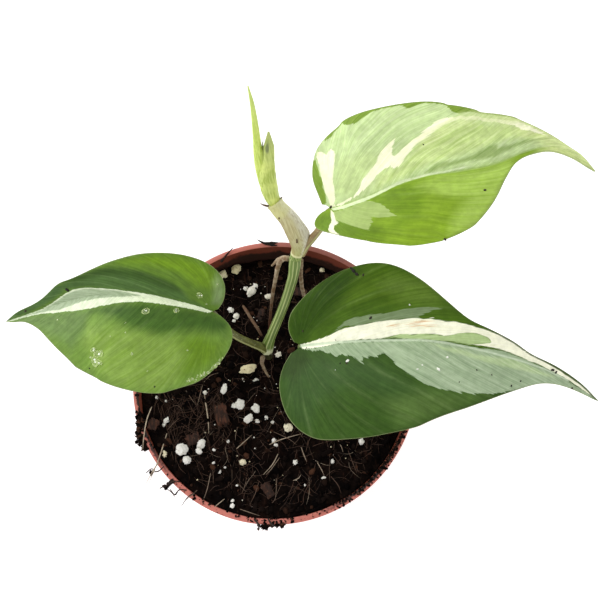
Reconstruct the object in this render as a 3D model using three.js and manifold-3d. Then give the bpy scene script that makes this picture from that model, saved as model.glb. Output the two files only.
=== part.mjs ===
// A young climbing plant with variegated heart-shaped leaves in a small plastic pot.
// Lengths are in millimetres, +Z is up and the origin is the centre of the pot's flat underside.
import * as THREE from 'three';
import { mergeVertices } from 'three/addons/utils/BufferGeometryUtils.js';
import Module from 'manifold-3d';

// Driving sizes of the pot
const RIM_RADIUS = 52.5;
const POT_HEIGHT = 82;
const BASE_RADIUS = 37;
const WALL = 1.4;
const COLLAR_BOTTOM = 65.4;
const COLLAR_STEP = 3.3;
const DRAIN_COUNT = 6;
const DRAIN_RADIUS = 4;
const DRAIN_CIRCLE = 24;

// Driving sizes of the soil
const SOIL_CENTRE = 74.5;
const SOIL_RISE = 2.0;
const SOIL_TILT_BACK = -4.6;
const SOIL_TILT_SIDE = -2.4;
const CRUMB_COUNT = 34;
const GAP = 0.3;

// Driving sizes of the plant
const BLADE = 0.8;
const MIDRIB = 1.1;
const STALK_RADIUS = 1.25;

// Repeatable random numbers from one seed
function seeded(seed) {
  let state = seed >>> 0;
  return () => {
    state = (state + 0x6d2b79f5) >>> 0;
    let t = state;
    t = Math.imul(t ^ (t >>> 15), t | 1);
    t ^= t + Math.imul(t ^ (t >>> 7), t | 61);
    return ((t ^ (t >>> 14)) >>> 0) / 4294967296;
  };
}

function lattice(i, j) {
  let n = Math.imul(i, 374761393) ^ Math.imul(j, 668265263);
  n = Math.imul(n ^ (n >>> 13), 1274126177);
  return (((n ^ (n >>> 16)) >>> 0) / 4294967296) * 2 - 1;
}

// Smooth random relief between -1 and 1
function relief(x, y) {
  const i = Math.floor(x);
  const j = Math.floor(y);
  const u = x - i;
  const v = y - j;
  const su = u * u * (3 - 2 * u);
  const sv = v * v * (3 - 2 * v);
  const low = lattice(i, j) * (1 - su) + lattice(i + 1, j) * su;
  const high = lattice(i, j + 1) * (1 - su) + lattice(i + 1, j + 1) * su;
  return low * (1 - sv) + high * sv;
}

function vec(p) {
  return new THREE.Vector3(p[0], p[1], p[2]);
}

// A closed solid from corner positions and triangles, with the flat scraps left out
function closed(positions, triangles) {
  const kept = [];
  for (const [a, b, c] of triangles) {
    if (a !== b && b !== c && c !== a) kept.push(a, b, c);
  }
  return { positions, indices: kept };
}

function weld(geometry) {
  const bare = new THREE.BufferGeometry();
  bare.setAttribute('position', geometry.getAttribute('position'));
  if (geometry.index) bare.setIndex(geometry.index);
  const merged = mergeVertices(bare, 1e-4);
  const array = merged.getAttribute('position').array;
  const positions = [];
  for (let i = 0; i < array.length; i += 3) positions.push([array[i], array[i + 1], array[i + 2]]);
  const triangles = [];
  const index = merged.index.array;
  for (let i = 0; i < index.length; i += 3) triangles.push([index[i], index[i + 1], index[i + 2]]);
  return closed(positions, triangles);
}

// A shape turned about the pot's axis from [radius, height] pairs that start and end on the axis
function turned(profile, steps) {
  const points = profile.map(([r, z]) => new THREE.Vector2(r, z));
  const geometry = new THREE.LatheGeometry(points, steps);
  geometry.rotateX(Math.PI / 2);
  return weld(geometry);
}

// A round or oval limb along a smooth line; sizes are [half width, half depth] at each point
function limb(points, sizes, sides, steps, across = [1, 0, 0]) {
  const curve = new THREE.CatmullRomCurve3(points.map(vec), false, 'catmullrom', 0.5);
  const positions = [];
  const triangles = [];
  const last = points.length - 1;
  const side = vec(across);
  for (let i = 0; i <= steps; i += 1) {
    const t = i / steps;
    const p = curve.getPoint(t);
    const tangent = curve.getTangent(t);
    side.addScaledVector(tangent, -side.dot(tangent)).normalize();
    const depth = tangent.clone().cross(side);
    const k = Math.min(Math.floor(t * last), last - 1);
    const f = t * last - k;
    const wide = sizes[k][0] * (1 - f) + sizes[k + 1][0] * f;
    const deep = sizes[k][1] * (1 - f) + sizes[k + 1][1] * f;
    for (let j = 0; j < sides; j += 1) {
      const a = (j / sides) * 2 * Math.PI;
      const q = p.clone();
      q.addScaledVector(side, Math.cos(a) * wide);
      q.addScaledVector(depth, Math.sin(a) * deep);
      positions.push([q.x, q.y, q.z]);
    }
  }
  for (let i = 0; i < steps; i += 1) {
    for (let j = 0; j < sides; j += 1) {
      const a = i * sides + j;
      const b = i * sides + ((j + 1) % sides);
      triangles.push([a, b, b + sides], [a, b + sides, a + sides]);
    }
  }
  const first = positions.length;
  const start = curve.getPoint(0);
  const end = curve.getPoint(1);
  positions.push([start.x, start.y, start.z], [end.x, end.y, end.z]);
  const top = steps * sides;
  for (let j = 0; j < sides; j += 1) {
    const next = (j + 1) % sides;
    triangles.push([first, next, j], [first + 1, top + j, top + next]);
  }
  return closed(positions, triangles);
}

function round(radii, extra = 0) {
  return radii.map((r) => [r + extra, r + extra]);
}

// A rough grain or crumb: a ball with its surface pushed in and out
function lump(centre, half, turn, seed, detail) {
  const geometry = new THREE.IcosahedronGeometry(1, detail);
  const solid = weld(geometry);
  const random = seeded(seed);
  const cos = Math.cos(turn);
  const sin = Math.sin(turn);
  solid.positions = solid.positions.map(([x, y, z]) => {
    const push = 0.86 + 0.3 * random();
    const px = x * half[0] * push;
    const py = y * half[1] * push;
    return [
      centre[0] + px * cos - py * sin,
      centre[1] + px * sin + py * cos,
      centre[2] + z * half[2] * push,
    ];
  });
  return solid;
}

// The three leaf blades. rib is the midrib in space from stalk to tip. edges holds the margin of the
// left half and of the right half, seen from the stalk: distance along the rib and out from it.
// bank turns the whole blade about the rib at stalk and tip, rise is how steeply each half leaves
// the rib and turn how far it curls back down at its widest, all in degrees.
const LEAF_LEFT = {
  rib: [
    [-16, 19.5, 111], [-26, 23, 114.5], [-39, 27, 116], [-52.5, 30.5, 114.5],
    [-64, 31.5, 111], [-74, 31.5, 107], [-82.5, 31.5, 103.5], [-91.5, 31.5, 99],
  ],
  edges: [
    [
      [-2.5, 0.4], [-7.5, 3.8], [-9, 9.5], [-6, 17.5], [0, 25], [10, 30.5], [23, 31.7],
      [38, 29], [48, 25.5], [57, 17], [64, 7.8], [71, 2.8], [77, 1.3], [81, 0],
    ],
    [
      [-1.4, 1.8], [-2.3, 6], [-0.5, 12.3], [6, 16.5], [14, 17.4], [24, 15.7], [33, 12.4],
      [42, 8.6], [48, 7.3], [52, 7], [59, 4.3], [66, 2.6], [74, 1.8], [81, 0],
    ],
  ],
  bank: [-24, -12],
  rise: [24, 28],
  turn: [34, 46],
  widest: [32, 27],
  lobe: 0.24,
};

const LEAF_LOWER = {
  rib: [
    [11.5, 3, 112], [24.5, 1, 118], [40, -2, 122.5], [52, -4.5, 124], [64, -8.5, 123],
    [76, -13, 120], [87.5, -18, 116], [97, -23.5, 111], [105, -29.5, 106],
  ],
  edges: [
    [
      [-2, 1.5], [-3.5, 5.5], [-2, 10.8], [1.5, 14], [6.4, 17.5], [15.9, 22.8], [25.6, 25],
      [33, 23.7], [38.4, 20.4], [45.9, 13.5], [53, 8.9], [60, 7.2], [69, 5.2], [76, 3],
      [85.7, 2.3], [96, 1.4], [105.6, 0],
    ],
    [
      [-3.2, 2.3], [-6.5, 7.5], [-7.4, 14.5], [-4, 23.8], [3, 30.2], [10.5, 31.6], [24, 30.8],
      [34, 28.7], [44, 26], [56, 19.8], [70, 11.5], [80, 5.7], [88, 3], [96, 1.6], [105.6, 0],
    ],
  ],
  bank: [6, 4],
  rise: [20, 20],
  turn: [34, 34],
  widest: [32, 34],
  lobe: 0.2,
};

const LEAF_UPPER = {
  rib: [
    [27, 37.5, 142], [36.5, 37, 146], [45.5, 38, 149], [56, 39, 151], [66, 38.5, 151.5],
    [77, 39.5, 150.5], [87.5, 43, 148], [96, 44.5, 145], [104, 42.5, 141], [111.5, 38, 136],
  ],
  edges: [
    [
      [-2, 1.5], [-2.8, 7], [-3.2, 10.2], [-1.5, 16], [1.7, 19.9], [9.7, 23.5], [18, 24.7],
      [28, 23.2], [40, 20.5], [50.7, 17.2], [59, 14], [66, 8.5], [72, 4], [78.2, 1.8],
      [85, 1.2], [91.6, 0],
    ],
    [
      [-2.4, 0.9], [-5, 3], [-4.5, 5.7], [-0.9, 8.2], [4.6, 11], [10, 13.8], [16.8, 18.2],
      [24, 20.5], [33.4, 21], [39.5, 18.7], [46, 13], [52, 5.8], [57, 2.4], [64, 1.5],
      [75, 1.5], [84, 1.1], [91.6, 0],
    ],
  ],
  bank: [8, 4],
  rise: [18, 22],
  turn: [30, 36],
  widest: [26, 24],
  lobe: 0.2,
};

const FAN = 0.3;
const ROWS = 28;
const COLUMNS = [0, 0.08, 0.32, 0.66, 1];

// A midrib with its lengths measured, so a distance along it gives a place and a direction
function measuredRib(points) {
  const curve = new THREE.CatmullRomCurve3(points.map(vec), false, 'catmullrom', 0.5);
  const count = 200;
  const places = [];
  const lengths = [0];
  for (let i = 0; i <= count; i += 1) places.push(curve.getPoint(i / count));
  for (let i = 1; i <= count; i += 1) {
    lengths.push(lengths[i - 1] + places[i].distanceTo(places[i - 1]));
  }
  const total = lengths[count];
  function at(x) {
    const held = Math.min(Math.max(x, 0), total);
    let i = 1;
    while (i < count && lengths[i] < held) i += 1;
    const f = (held - lengths[i - 1]) / (lengths[i] - lengths[i - 1]);
    const place = places[i - 1].clone().lerp(places[i], f);
    const direction = curve.getTangent((i - 1 + f) / count);
    place.addScaledVector(direction, x - held);
    return { place, direction };
  }
  return { at, total };
}

// Place in space of a blade point x along the midrib and out from it on one half
function bladePoint(leaf, rib, x, out, half) {
  const { place, direction } = rib.at(x);
  const u = Math.min(Math.max(x / rib.total, 0), 1);
  const bank = THREE.MathUtils.degToRad(leaf.bank[0] * (1 - u) + leaf.bank[1] * u);
  const level = new THREE.Vector3(0, 0, 1).cross(direction).normalize();
  const normal = direction.clone().cross(level);
  const across = level.clone().multiplyScalar(Math.cos(bank)).addScaledVector(normal, Math.sin(bank));
  const up = direction.clone().cross(across);
  const rise = THREE.MathUtils.degToRad(leaf.rise[half]);
  const curl = THREE.MathUtils.degToRad(leaf.turn[half]) / leaf.widest[half];
  const y = (Math.sin(rise) - Math.sin(rise - curl * out)) / curl;
  let z = (Math.cos(rise - curl * out) - Math.cos(rise)) / curl;
  if (x < 0) z -= (leaf.lobe * x * x) / 10;
  place.addScaledVector(across, half === 0 ? y : -y);
  place.addScaledVector(up, z);
  return place;
}

function spline2(points, t) {
  const flat = points.map(([x, y]) => new THREE.Vector3(x, y, 0));
  return new THREE.CatmullRomCurve3(flat, false, 'catmullrom', 0.5).getPoint(t);
}

// A blade as a closed body: veins run from the midrib to the margin and are the mesh rows
function blade(leaf, extra = 0) {
  const rib = measuredRib(leaf.rib);
  const positions = [];
  const places = new Map();
  const normals = new Map();
  const grid = (half, i, j) => {
    const w = i / ROWS;
    const margin = spline2(leaf.edges[half], w);
    const along = w < FAN ? 0 : rib.total * ((w - FAN) / (1 - FAN)) ** 0.92;
    const c = COLUMNS[j];
    const tip = i === ROWS;
    const x = tip ? rib.total : along + (margin.x - along) * c;
    const y = tip ? 0 : Math.max(margin.y, 0.05) * c;
    return [x, y];
  };
  const key = (half, i, j) => {
    if (i === ROWS) return 'tip';
    if (j === 0) return i / ROWS < FAN ? 'joint' : `rib ${i}`;
    return `${half} ${i} ${j}`;
  };
  const corner = (half, i, j, face) => {
    const name = key(half, i, j);
    if (!places.has(name)) {
      const [x, y] = grid(half, i, j);
      const e = 0.4;
      const p = bladePoint(leaf, rib, x, y, half);
      const ahead = bladePoint(leaf, rib, x + e, y, half).sub(bladePoint(leaf, rib, x - e, y, half));
      const onRib = y < 1e-9;
      const a = onRib ? bladePoint(leaf, rib, x, e, 0) : bladePoint(leaf, rib, x, y + e, half);
      const b = onRib ? bladePoint(leaf, rib, x, e, 1) : bladePoint(leaf, rib, x, y, half);
      const outward = a.sub(b).multiplyScalar(onRib || half === 0 ? 1 : -1);
      const normal = ahead.cross(outward).normalize();
      const fade = Math.max(1 - Math.max(x, 0) / rib.total, 0.05) ** 0.7;
      const thick = BLADE + MIDRIB * fade * Math.exp(-((y / 1.6) ** 2));
      const under = p.clone().addScaledVector(normal, -thick - extra);
      p.addScaledVector(normal, extra);
      normals.set(name, normal);
      places.set(name, [positions.length, positions.length + 1]);
      positions.push([p.x, p.y, p.z], [under.x, under.y, under.z]);
    }
    return places.get(name)[face];
  };
  const triangles = [];
  const quad = (a, b, c, d, flip) => {
    if (flip) triangles.push([a, c, b], [a, d, c]);
    else triangles.push([a, b, c], [a, c, d]);
  };
  for (let half = 0; half < 2; half += 1) {
    for (let i = 0; i < ROWS; i += 1) {
      for (let j = 0; j < COLUMNS.length - 1; j += 1) {
        for (let face = 0; face < 2; face += 1) {
          const a = corner(half, i, j, face);
          const b = corner(half, i + 1, j, face);
          const c = corner(half, i + 1, j + 1, face);
          const d = corner(half, i, j + 1, face);
          quad(a, b, c, d, (half + face) % 2 === 1);
        }
      }
      const m = COLUMNS.length - 1;
      const a = corner(half, i, m, 0);
      const b = corner(half, i + 1, m, 0);
      const c = corner(half, i + 1, m, 1);
      const d = corner(half, i, m, 1);
      quad(a, b, c, d, half === 1);
    }
    for (let j = 0; j < COLUMNS.length - 1; j += 1) {
      const a = corner(half, 0, j, 0);
      const b = corner(half, 0, j + 1, 0);
      const c = corner(half, 0, j + 1, 1);
      const d = corner(half, 0, j, 1);
      quad(a, b, c, d, half === 1);
    }
  }
  return closed(positions, triangles);
}

// Leaf stalks: from the stem or the soil to the joint, then on into the underside of the midrib
const STALK_LEFT = [
  [-1.6, 10.1, 84.4], [-3.4, 10.3, 89.5], [-6.4, 10.9, 95.5], [-10.2, 12.4, 102],
  [-13.5, 15.3, 107.2], [-16.2, 19.4, 109.9], [-21, 21.3, 111.9],
];
const STALK_LEFT_RADII = [2.0, 1.5, 1.3, 1.25, 1.25, 1.2, 0.75];
const STALK_LOWER = [
  [18.5, 8.5, 54], [17, 7, 74], [15.8, 5.6, 90], [14.2, 4.4, 101], [12.2, 3.4, 107.6],
  [12.4, 3, 110.8], [17.5, 2.2, 113.6],
];
const STALK_LOWER_RADII = [1.7, 1.6, 1.45, 1.4, 1.35, 1.3, 0.75];
const STALK_UPPER = [
  [16.4, 32, 121.2], [18.8, 33.2, 125], [21.8, 34, 130], [24.4, 35, 135], [26.2, 36.6, 139.4],
  [29, 37.2, 141.6], [33, 36.9, 143.3],
];
const STALK_UPPER_RADII = [1.9, 1.5, 1.25, 1.2, 1.2, 1.1, 0.7];

// The stem from below the soil to the upper joint, with its two swollen joints
const STEM = [
  [-1, 8, 46], [-1.2, 8.8, 62], [-1.3, 9.3, 74], [-1.2, 9.8, 81], [-0.9, 10.4, 85], [1.6, 13.2, 91],
  [5.3, 17.2, 98], [8.4, 20.7, 104], [11, 24.1, 109.5], [12.9, 27, 114], [13.9, 29.4, 117.2],
  [14.4, 30.8, 119.4],
];
const STEM_RADII = [2.2, 2.2, 2.1, 2.0, 2.3, 1.7, 1.6, 1.6, 1.65, 1.75, 2.1, 2.0];

// The papery sheath round the shoot, from the upper joint to its collar
const SHEATH = [
  [14.5, 30.7, 120], [16, 33, 124], [16.3, 35, 128], [15.7, 36.9, 131.2], [14.1, 39.4, 134.2],
  [12, 41.7, 136.6], [10.7, 43.5, 138.2],
];
const SHEATH_SIZES = [
  [2.1, 2.1], [3.0, 2.5], [3.6, 2.8], [3.3, 2.8], [2.9, 2.7], [2.6, 2.6], [2.6, 2.5],
];

// The rolled new leaf and the pointed hood beside it, both rising out of the collar
const ROLL = [
  [12.6, 41.9, 134.6], [10.5, 44.4, 138], [8.7, 47.9, 142], [8.1, 52, 146.5], [8.2, 54.8, 150.5],
  [8.6, 57.6, 155], [8.9, 61, 159.5], [9, 64.2, 163.5], [8.7, 67.4, 167.5],
];
const ROLL_RADII = [1.0, 1.2, 1.3, 1.3, 1.2, 0.95, 0.75, 0.55, 0.25];
const HOOD = [
  [12.3, 42.2, 135], [10.6, 44.2, 138.2], [9.8, 47, 142], [10, 50.1, 145.5], [11.1, 52.7, 149.5],
  [11.8, 55.4, 153], [12.4, 58.1, 156.5],
];
const HOOD_SIZES = [
  [1.8, 1.8], [2.1, 2.0], [2.7, 2.3], [2.6, 2.0], [1.7, 1.4], [1.6, 1.1], [0.4, 0.35],
];

// Aerial roots: [points, radii]
const ROOT_LONG = [
  [12.2, 32, 117.3], [10.4, 32.7, 116], [8.6, 32.1, 113], [6.9, 30.3, 106], [4.7, 27.4, 97],
  [2.8, 24.2, 88], [1.3, 21.4, 80], [-0.3, 18.7, 70],
];
const ROOT_LONG_RADII = [0.8, 0.85, 0.8, 0.75, 0.75, 0.7, 0.7, 0.65];
const ROOT_STUB = [[11.2, 32.6, 116.8], [8.8, 33.2, 114.4], [6.1, 32.9, 110]];
const ROOT_STUB_RADII = [0.75, 0.7, 0.35];
const ROOT_BACK = [
  [16.4, 30.6, 117.6], [15.6, 28.9, 112], [15.2, 27.5, 100], [15.5, 26.8, 88], [15.6, 26.2, 70],
];
const ROOT_BACK_RADII = [0.7, 0.75, 0.7, 0.65, 0.6];
const ROOT_BASE = [[-3, 7.6, 82.4], [-3.7, 6.4, 79.4], [-3.1, 4.4, 76.4], [-2.4, 2.6, 71]];
const ROOT_BASE_RADII = [0.9, 0.8, 0.7, 0.6];
const ROOT_SURFACE = [
  [-8.8, 31.6, 72], [-7.6, 28.6, 76.2], [-5.6, 23.8, 77], [-3.6, 19.4, 76.8], [-2.6, 16.6, 72],
];
const ROOT_SURFACE_RADII = [0.55, 0.7, 0.75, 0.7, 0.55];

// The larger white grains: place across the pot, half sizes, turn in degrees
const GRAINS = [
  [[-37, -21], [2.2, 2.0, 1.9], 20],
  [[-35.6, -25.1], [1.4, 1.5, 1.3], 0],
  [[-30, -19.9], [1.9, 1.4, 1.4], 60],
  [[-14.4, -7.4], [1.6, 1.5, 1.4], 10],
  [[-11.9, -13.2], [2.0, 1.3, 1.3], 40],
  [[-9.9, 5.4], [3.0, 1.7, 1.5], 5],
  [[-19.6, -0.8], [1.9, 1.1, 1.1], 65],
  [[2.1, -18.7], [1.7, 1.5, 1.3], -20],
  [[-9.2, 46.2], [2.0, 1.8, 1.5], 30],
  [[-4.5, 36.1], [2.1, 1.6, 1.5], 50],
];

// Height of the soil before its crumbs: low at the back, heaped to the rim at the front left
function soilLevel(x, y) {
  const r = Math.hypot(x, y) / 50;
  const tilt = (SOIL_TILT_BACK * y + SOIL_TILT_SIDE * x) / 50;
  return SOIL_CENTRE + SOIL_RISE * r * r + tilt * r;
}

function soilHeight(x, y) {
  return soilLevel(x, y) + 0.9 * relief(x / 6, y / 6) + 0.7 * relief(x / 2.7 + 40, y / 2.7);
}

function potProfile(outside, inside) {
  const lean = (RIM_RADIUS - 0.4 - BASE_RADIUS - COLLAR_STEP) / POT_HEIGHT;
  const bodyTop = BASE_RADIUS + lean * COLLAR_BOTTOM;
  const collarTop = POT_HEIGHT - 1.4;
  return [
    [0, -outside],
    [BASE_RADIUS - 1.2, -outside],
    [BASE_RADIUS + outside, 1.2],
    [bodyTop + outside, COLLAR_BOTTOM],
    [bodyTop + COLLAR_STEP + outside, COLLAR_BOTTOM + 0.3 - outside],
    [RIM_RADIUS - 0.4 + outside, collarTop],
    [RIM_RADIUS + outside, collarTop + 0.5],
    [RIM_RADIUS + outside, POT_HEIGHT - 0.4],
    [RIM_RADIUS - 0.4 + outside / 2, POT_HEIGHT + outside],
    [RIM_RADIUS - 1.8 - inside / 2, POT_HEIGHT + outside],
    [RIM_RADIUS - 2.1 - inside, POT_HEIGHT - 0.5],
    [RIM_RADIUS - 2.1 - inside, collarTop],
    [bodyTop + COLLAR_STEP - WALL - inside, COLLAR_BOTTOM + 1.8],
    [bodyTop - WALL - inside, COLLAR_BOTTOM + 0.5 + inside],
    [BASE_RADIUS - WALL - inside, 2.2],
    [BASE_RADIUS - WALL - 0.8 - inside, 1.6 + inside],
    [0, 1.6 + inside],
  ];
}

// The room inside the pot that the soil fills, open upwards past the rim
function cavityProfile(gap) {
  const inner = potProfile(0, gap).slice(10).reverse();
  const rim = RIM_RADIUS - 2.1 - gap;
  return [...inner, [rim, POT_HEIGHT + 12], [0, POT_HEIGHT + 12]];
}

function soilBody() {
  const sectors = 54;
  const rings = 14;
  const reach = RIM_RADIUS - 1;
  const positions = [[0, 0, soilHeight(0, 0)], [0, 0, 1]];
  const triangles = [];
  for (let i = 1; i <= rings; i += 1) {
    const r = reach * (i / rings) ** 0.85;
    for (let j = 0; j < sectors; j += 1) {
      const a = ((j + (i % 2) * 0.5) / sectors) * 2 * Math.PI;
      const x = r * Math.cos(a);
      const y = r * Math.sin(a);
      positions.push([x, y, soilHeight(x, y)]);
    }
  }
  const ringStart = (i) => 2 + (i - 1) * sectors;
  const foot = positions.length;
  for (let j = 0; j < sectors; j += 1) {
    const [x, y] = positions[ringStart(rings) + j];
    positions.push([x, y, 1]);
  }
  for (let j = 0; j < sectors; j += 1) {
    const n = (j + 1) % sectors;
    triangles.push([0, ringStart(1) + j, ringStart(1) + n]);
    for (let i = 1; i < rings; i += 1) {
      const a = ringStart(i) + j;
      const b = ringStart(i) + n;
      const c = ringStart(i + 1) + j;
      const d = ringStart(i + 1) + n;
      if (i % 2 === 0) triangles.push([a, c, d], [a, d, b]);
      else triangles.push([a, c, b], [b, c, d]);
    }
    const a = ringStart(rings) + j;
    const b = ringStart(rings) + n;
    triangles.push([a, foot + j, foot + n], [a, foot + n, b], [1, foot + n, foot + j]);
  }
  return closed(positions, triangles);
}

// Clods on the soil and the ones that lie over the rim: [place, half sizes, turn in degrees]
const RIM_CLODS = [
  [[-50.2, -8.5, 81.4], [3.6, 6.5, 2.6], 8],
  [[-49.2, -16.5, 81.6], [3.4, 4.5, 2.3], 18],
  [[-9.5, -50.6, 82.2], [4.2, 3.2, 2.2], 0],
  [[-4.2, -50, 82], [3.4, 2.6, 2], 0],
];

function colour(red, green, blue) {
  return new THREE.Color().setRGB(red, green, blue, THREE.SRGBColorSpace);
}

function finish(red, green, blue, roughness) {
  return new THREE.MeshStandardMaterial({ color: colour(red, green, blue), roughness, metalness: 0 });
}

const kernel = await Module();
kernel.setup();
const { Manifold, Mesh } = kernel;

const solid = ({ positions, indices }) => {
  const mesh = new Mesh({
    numProp: 3,
    vertProperties: Float32Array.from(positions.flat()),
    triVerts: Uint32Array.from(indices),
  });
  mesh.merge();
  return new Manifold(mesh);
};
const group = new THREE.Group();
group.name = 'potted_rio_philodendron';
const add = (name, body, material) => {
  const mesh = body.getMesh();
  const geometry = new THREE.BufferGeometry();
  geometry.setAttribute('position', new THREE.BufferAttribute(Float32Array.from(mesh.vertProperties), 3));
  geometry.setIndex(new THREE.BufferAttribute(Uint32Array.from(mesh.triVerts), 1));
  geometry.computeVertexNormals();
  const item = new THREE.Mesh(geometry, material);
  item.name = name;
  group.add(item);
  return body;
};

const terracotta = finish(0.72, 0.36, 0.3, 0.5);
const peat = finish(0.11, 0.075, 0.06, 0.95);
const leafGreen = finish(0.26, 0.45, 0.12, 0.35);
const leafDark = finish(0.18, 0.36, 0.13, 0.35);
const leafPale = finish(0.58, 0.7, 0.34, 0.35);
const stemGreen = finish(0.42, 0.53, 0.28, 0.45);
const paper = finish(0.75, 0.77, 0.62, 0.6);
const shootGreen = finish(0.6, 0.72, 0.26, 0.4);
const rootBrown = finish(0.5, 0.38, 0.26, 0.8);
const grainWhite = finish(0.88, 0.87, 0.82, 0.9);

// Pot with its drain holes
let pot = solid(turned(potProfile(0, 0), 54));
for (let i = 0; i < DRAIN_COUNT; i += 1) {
  const a = ((i + 0.5) / DRAIN_COUNT) * 2 * Math.PI;
  const x = DRAIN_CIRCLE * Math.cos(a);
  const y = DRAIN_CIRCLE * Math.sin(a);
  const line = [[x, y, -3], [x, y, 6]];
  pot = pot.subtract(solid(limb(line, round([DRAIN_RADIUS, DRAIN_RADIUS]), 12, 1)));
}
add('pot', pot, terracotta);

// Stem, stalks and blades
const stemLimb = (extra) => solid(limb(STEM, round(STEM_RADII, extra), 10, 26));
const stem = add('stem', stemLimb(0), stemGreen);
const stalk = (points, radii, extra) => solid(limb(points, round(radii, extra), 8, 16));
const leaf = (shape, points, radii) => solid(blade(shape)).add(stalk(points, radii, 0));
const nearStem = stemLimb(GAP);
const left = leaf(LEAF_LEFT, STALK_LEFT, STALK_LEFT_RADII).subtract(nearStem);
const lower = leaf(LEAF_LOWER, STALK_LOWER, STALK_LOWER_RADII);
const sheathLimb = (extra) => {
  const sizes = SHEATH_SIZES.map(([a, b]) => [a + extra, b + extra]);
  return solid(limb(SHEATH, sizes, 14, 12));
};
const upper = leaf(LEAF_UPPER, STALK_UPPER, STALK_UPPER_RADII)
  .subtract(nearStem)
  .subtract(sheathLimb(GAP));
add('leaf_left', left, leafGreen);
add('leaf_lower', lower, leafDark);
add('leaf_upper', upper, leafPale);

// Shoot: sheath, rolled leaf and hood
const roll = (extra) => solid(limb(ROLL, round(ROLL_RADII, extra), 8, 18));
const hoodSizes = (extra) => HOOD_SIZES.map(([a, b]) => [a + extra, b + extra]);
const hood = (extra) => solid(limb(HOOD, hoodSizes(extra), 10, 14));
add('sheath', sheathLimb(0).subtract(nearStem).subtract(roll(GAP)).subtract(hood(GAP)), paper);
add('new_leaf_roll', roll(0), shootGreen);
add('new_leaf_hood', hood(0).subtract(roll(GAP)), shootGreen);

// Aerial roots
const root = (points, radii, extra) => solid(limb(points, round(radii, extra), 6, 14));
const rootLong = (extra) => root(ROOT_LONG, ROOT_LONG_RADII, extra)
  .add(root(ROOT_STUB, ROOT_STUB_RADII, extra));
const rootBack = (extra) => root(ROOT_BACK, ROOT_BACK_RADII, extra);
const rootBase = (extra) => root(ROOT_BASE, ROOT_BASE_RADII, extra);
const rootSurface = (extra) => root(ROOT_SURFACE, ROOT_SURFACE_RADII, extra);
const nearSheath = sheathLimb(GAP);
add('root_long', rootLong(0).subtract(nearStem).subtract(nearSheath), rootBrown);
add('root_back', rootBack(0).subtract(nearStem).subtract(nearSheath), rootBrown);
add('root_base', rootBase(0).subtract(nearStem), rootBrown);
add('root_surface', rootSurface(0), rootBrown);

// White grains, each resting in its own dent
const grain = ([place, half, turn], i, extra) => {
  const [x, y] = place;
  const z = soilLevel(x, y) + half[2] * 0.55;
  const sizes = half.map((h) => h + extra);
  return solid(lump([x, y, z], sizes, THREE.MathUtils.degToRad(turn), 70 + i, 1));
};
GRAINS.forEach((spec, i) => add(`grain_${i + 1}`, grain(spec, i, 0), grainWhite));

// Soil: heaped surface with crumbs and clods, cut back from the pot and from what stands in it
let soil = solid(soilBody()).intersect(solid(turned(cavityProfile(GAP), 54)));
const random = seeded(11);
for (let i = 0; i < CRUMB_COUNT; i += 1) {
  const r = 47 * Math.sqrt(random());
  const a = 2 * Math.PI * random();
  const size = 1.1 + 1.7 * random() ** 2;
  const x = r * Math.cos(a);
  const y = r * Math.sin(a);
  const half = [size, size * (0.6 + 0.4 * random()), size * 0.8];
  const centre = [x, y, soilHeight(x, y) + size * 0.1];
  soil = soil.add(solid(lump(centre, half, 6 * random(), 300 + i, 0)));
}
RIM_CLODS.forEach(([centre, half, turn], i) => {
  soil = soil.add(solid(lump(centre, half, THREE.MathUtils.degToRad(turn), 500 + i, 1)));
});
soil = soil.subtract(solid(turned(potProfile(GAP, GAP), 54)));
const standing = [
  stemLimb(GAP),
  stalk(STALK_LOWER, STALK_LOWER_RADII, GAP),
  rootLong(GAP),
  rootBack(GAP),
  rootBase(GAP),
  rootSurface(GAP),
  ...GRAINS.map((spec, i) => grain(spec, i, GAP)),
];
standing.forEach((body) => {
  soil = soil.subtract(body);
});
const pieces = soil.decompose().sort((a, b) => b.volume() - a.volume());
add('soil', pieces[0], peat);

export default group;
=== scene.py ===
# %% [markdown]
# # A young rio philodendron in its nursery pot
# A small climbing plant with three heart-shaped, cream-streaked leaves stands in a terracotta-coloured
# plastic pot of peat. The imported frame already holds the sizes, so every piece here is made in the same
# metres and lands where it belongs. Each step says what the piece is on the real plant, how it could be
# made, and why this way was picked.

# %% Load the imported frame
import math
import random

import bmesh
import bpy
import numpy as np
from mathutils import Matrix, Vector, noise


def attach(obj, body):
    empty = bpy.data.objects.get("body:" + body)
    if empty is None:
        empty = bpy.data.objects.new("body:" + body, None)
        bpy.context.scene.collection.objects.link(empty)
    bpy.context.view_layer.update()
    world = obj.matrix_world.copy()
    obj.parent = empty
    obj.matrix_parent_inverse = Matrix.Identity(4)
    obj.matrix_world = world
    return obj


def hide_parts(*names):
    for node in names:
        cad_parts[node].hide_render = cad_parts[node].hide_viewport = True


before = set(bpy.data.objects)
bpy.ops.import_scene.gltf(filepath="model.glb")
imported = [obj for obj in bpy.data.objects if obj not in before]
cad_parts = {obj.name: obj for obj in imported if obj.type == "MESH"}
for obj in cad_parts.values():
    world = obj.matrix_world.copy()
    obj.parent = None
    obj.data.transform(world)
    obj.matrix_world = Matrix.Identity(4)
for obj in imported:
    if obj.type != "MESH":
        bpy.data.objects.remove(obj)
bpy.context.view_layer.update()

MM = 0.001


def put_in_scene(name, data):
    """A new object of that name, linked into the scene."""
    thing = bpy.data.objects.new(name, data)
    bpy.context.scene.collection.objects.link(thing)
    return thing


def mesh_from(name, bm):
    """A mesh made of a finished bmesh, which is then let go."""
    mesh = bpy.data.meshes.new(name)
    bm.to_mesh(mesh)
    bm.free()
    return mesh


print("frame nodes:", len(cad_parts))

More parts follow.
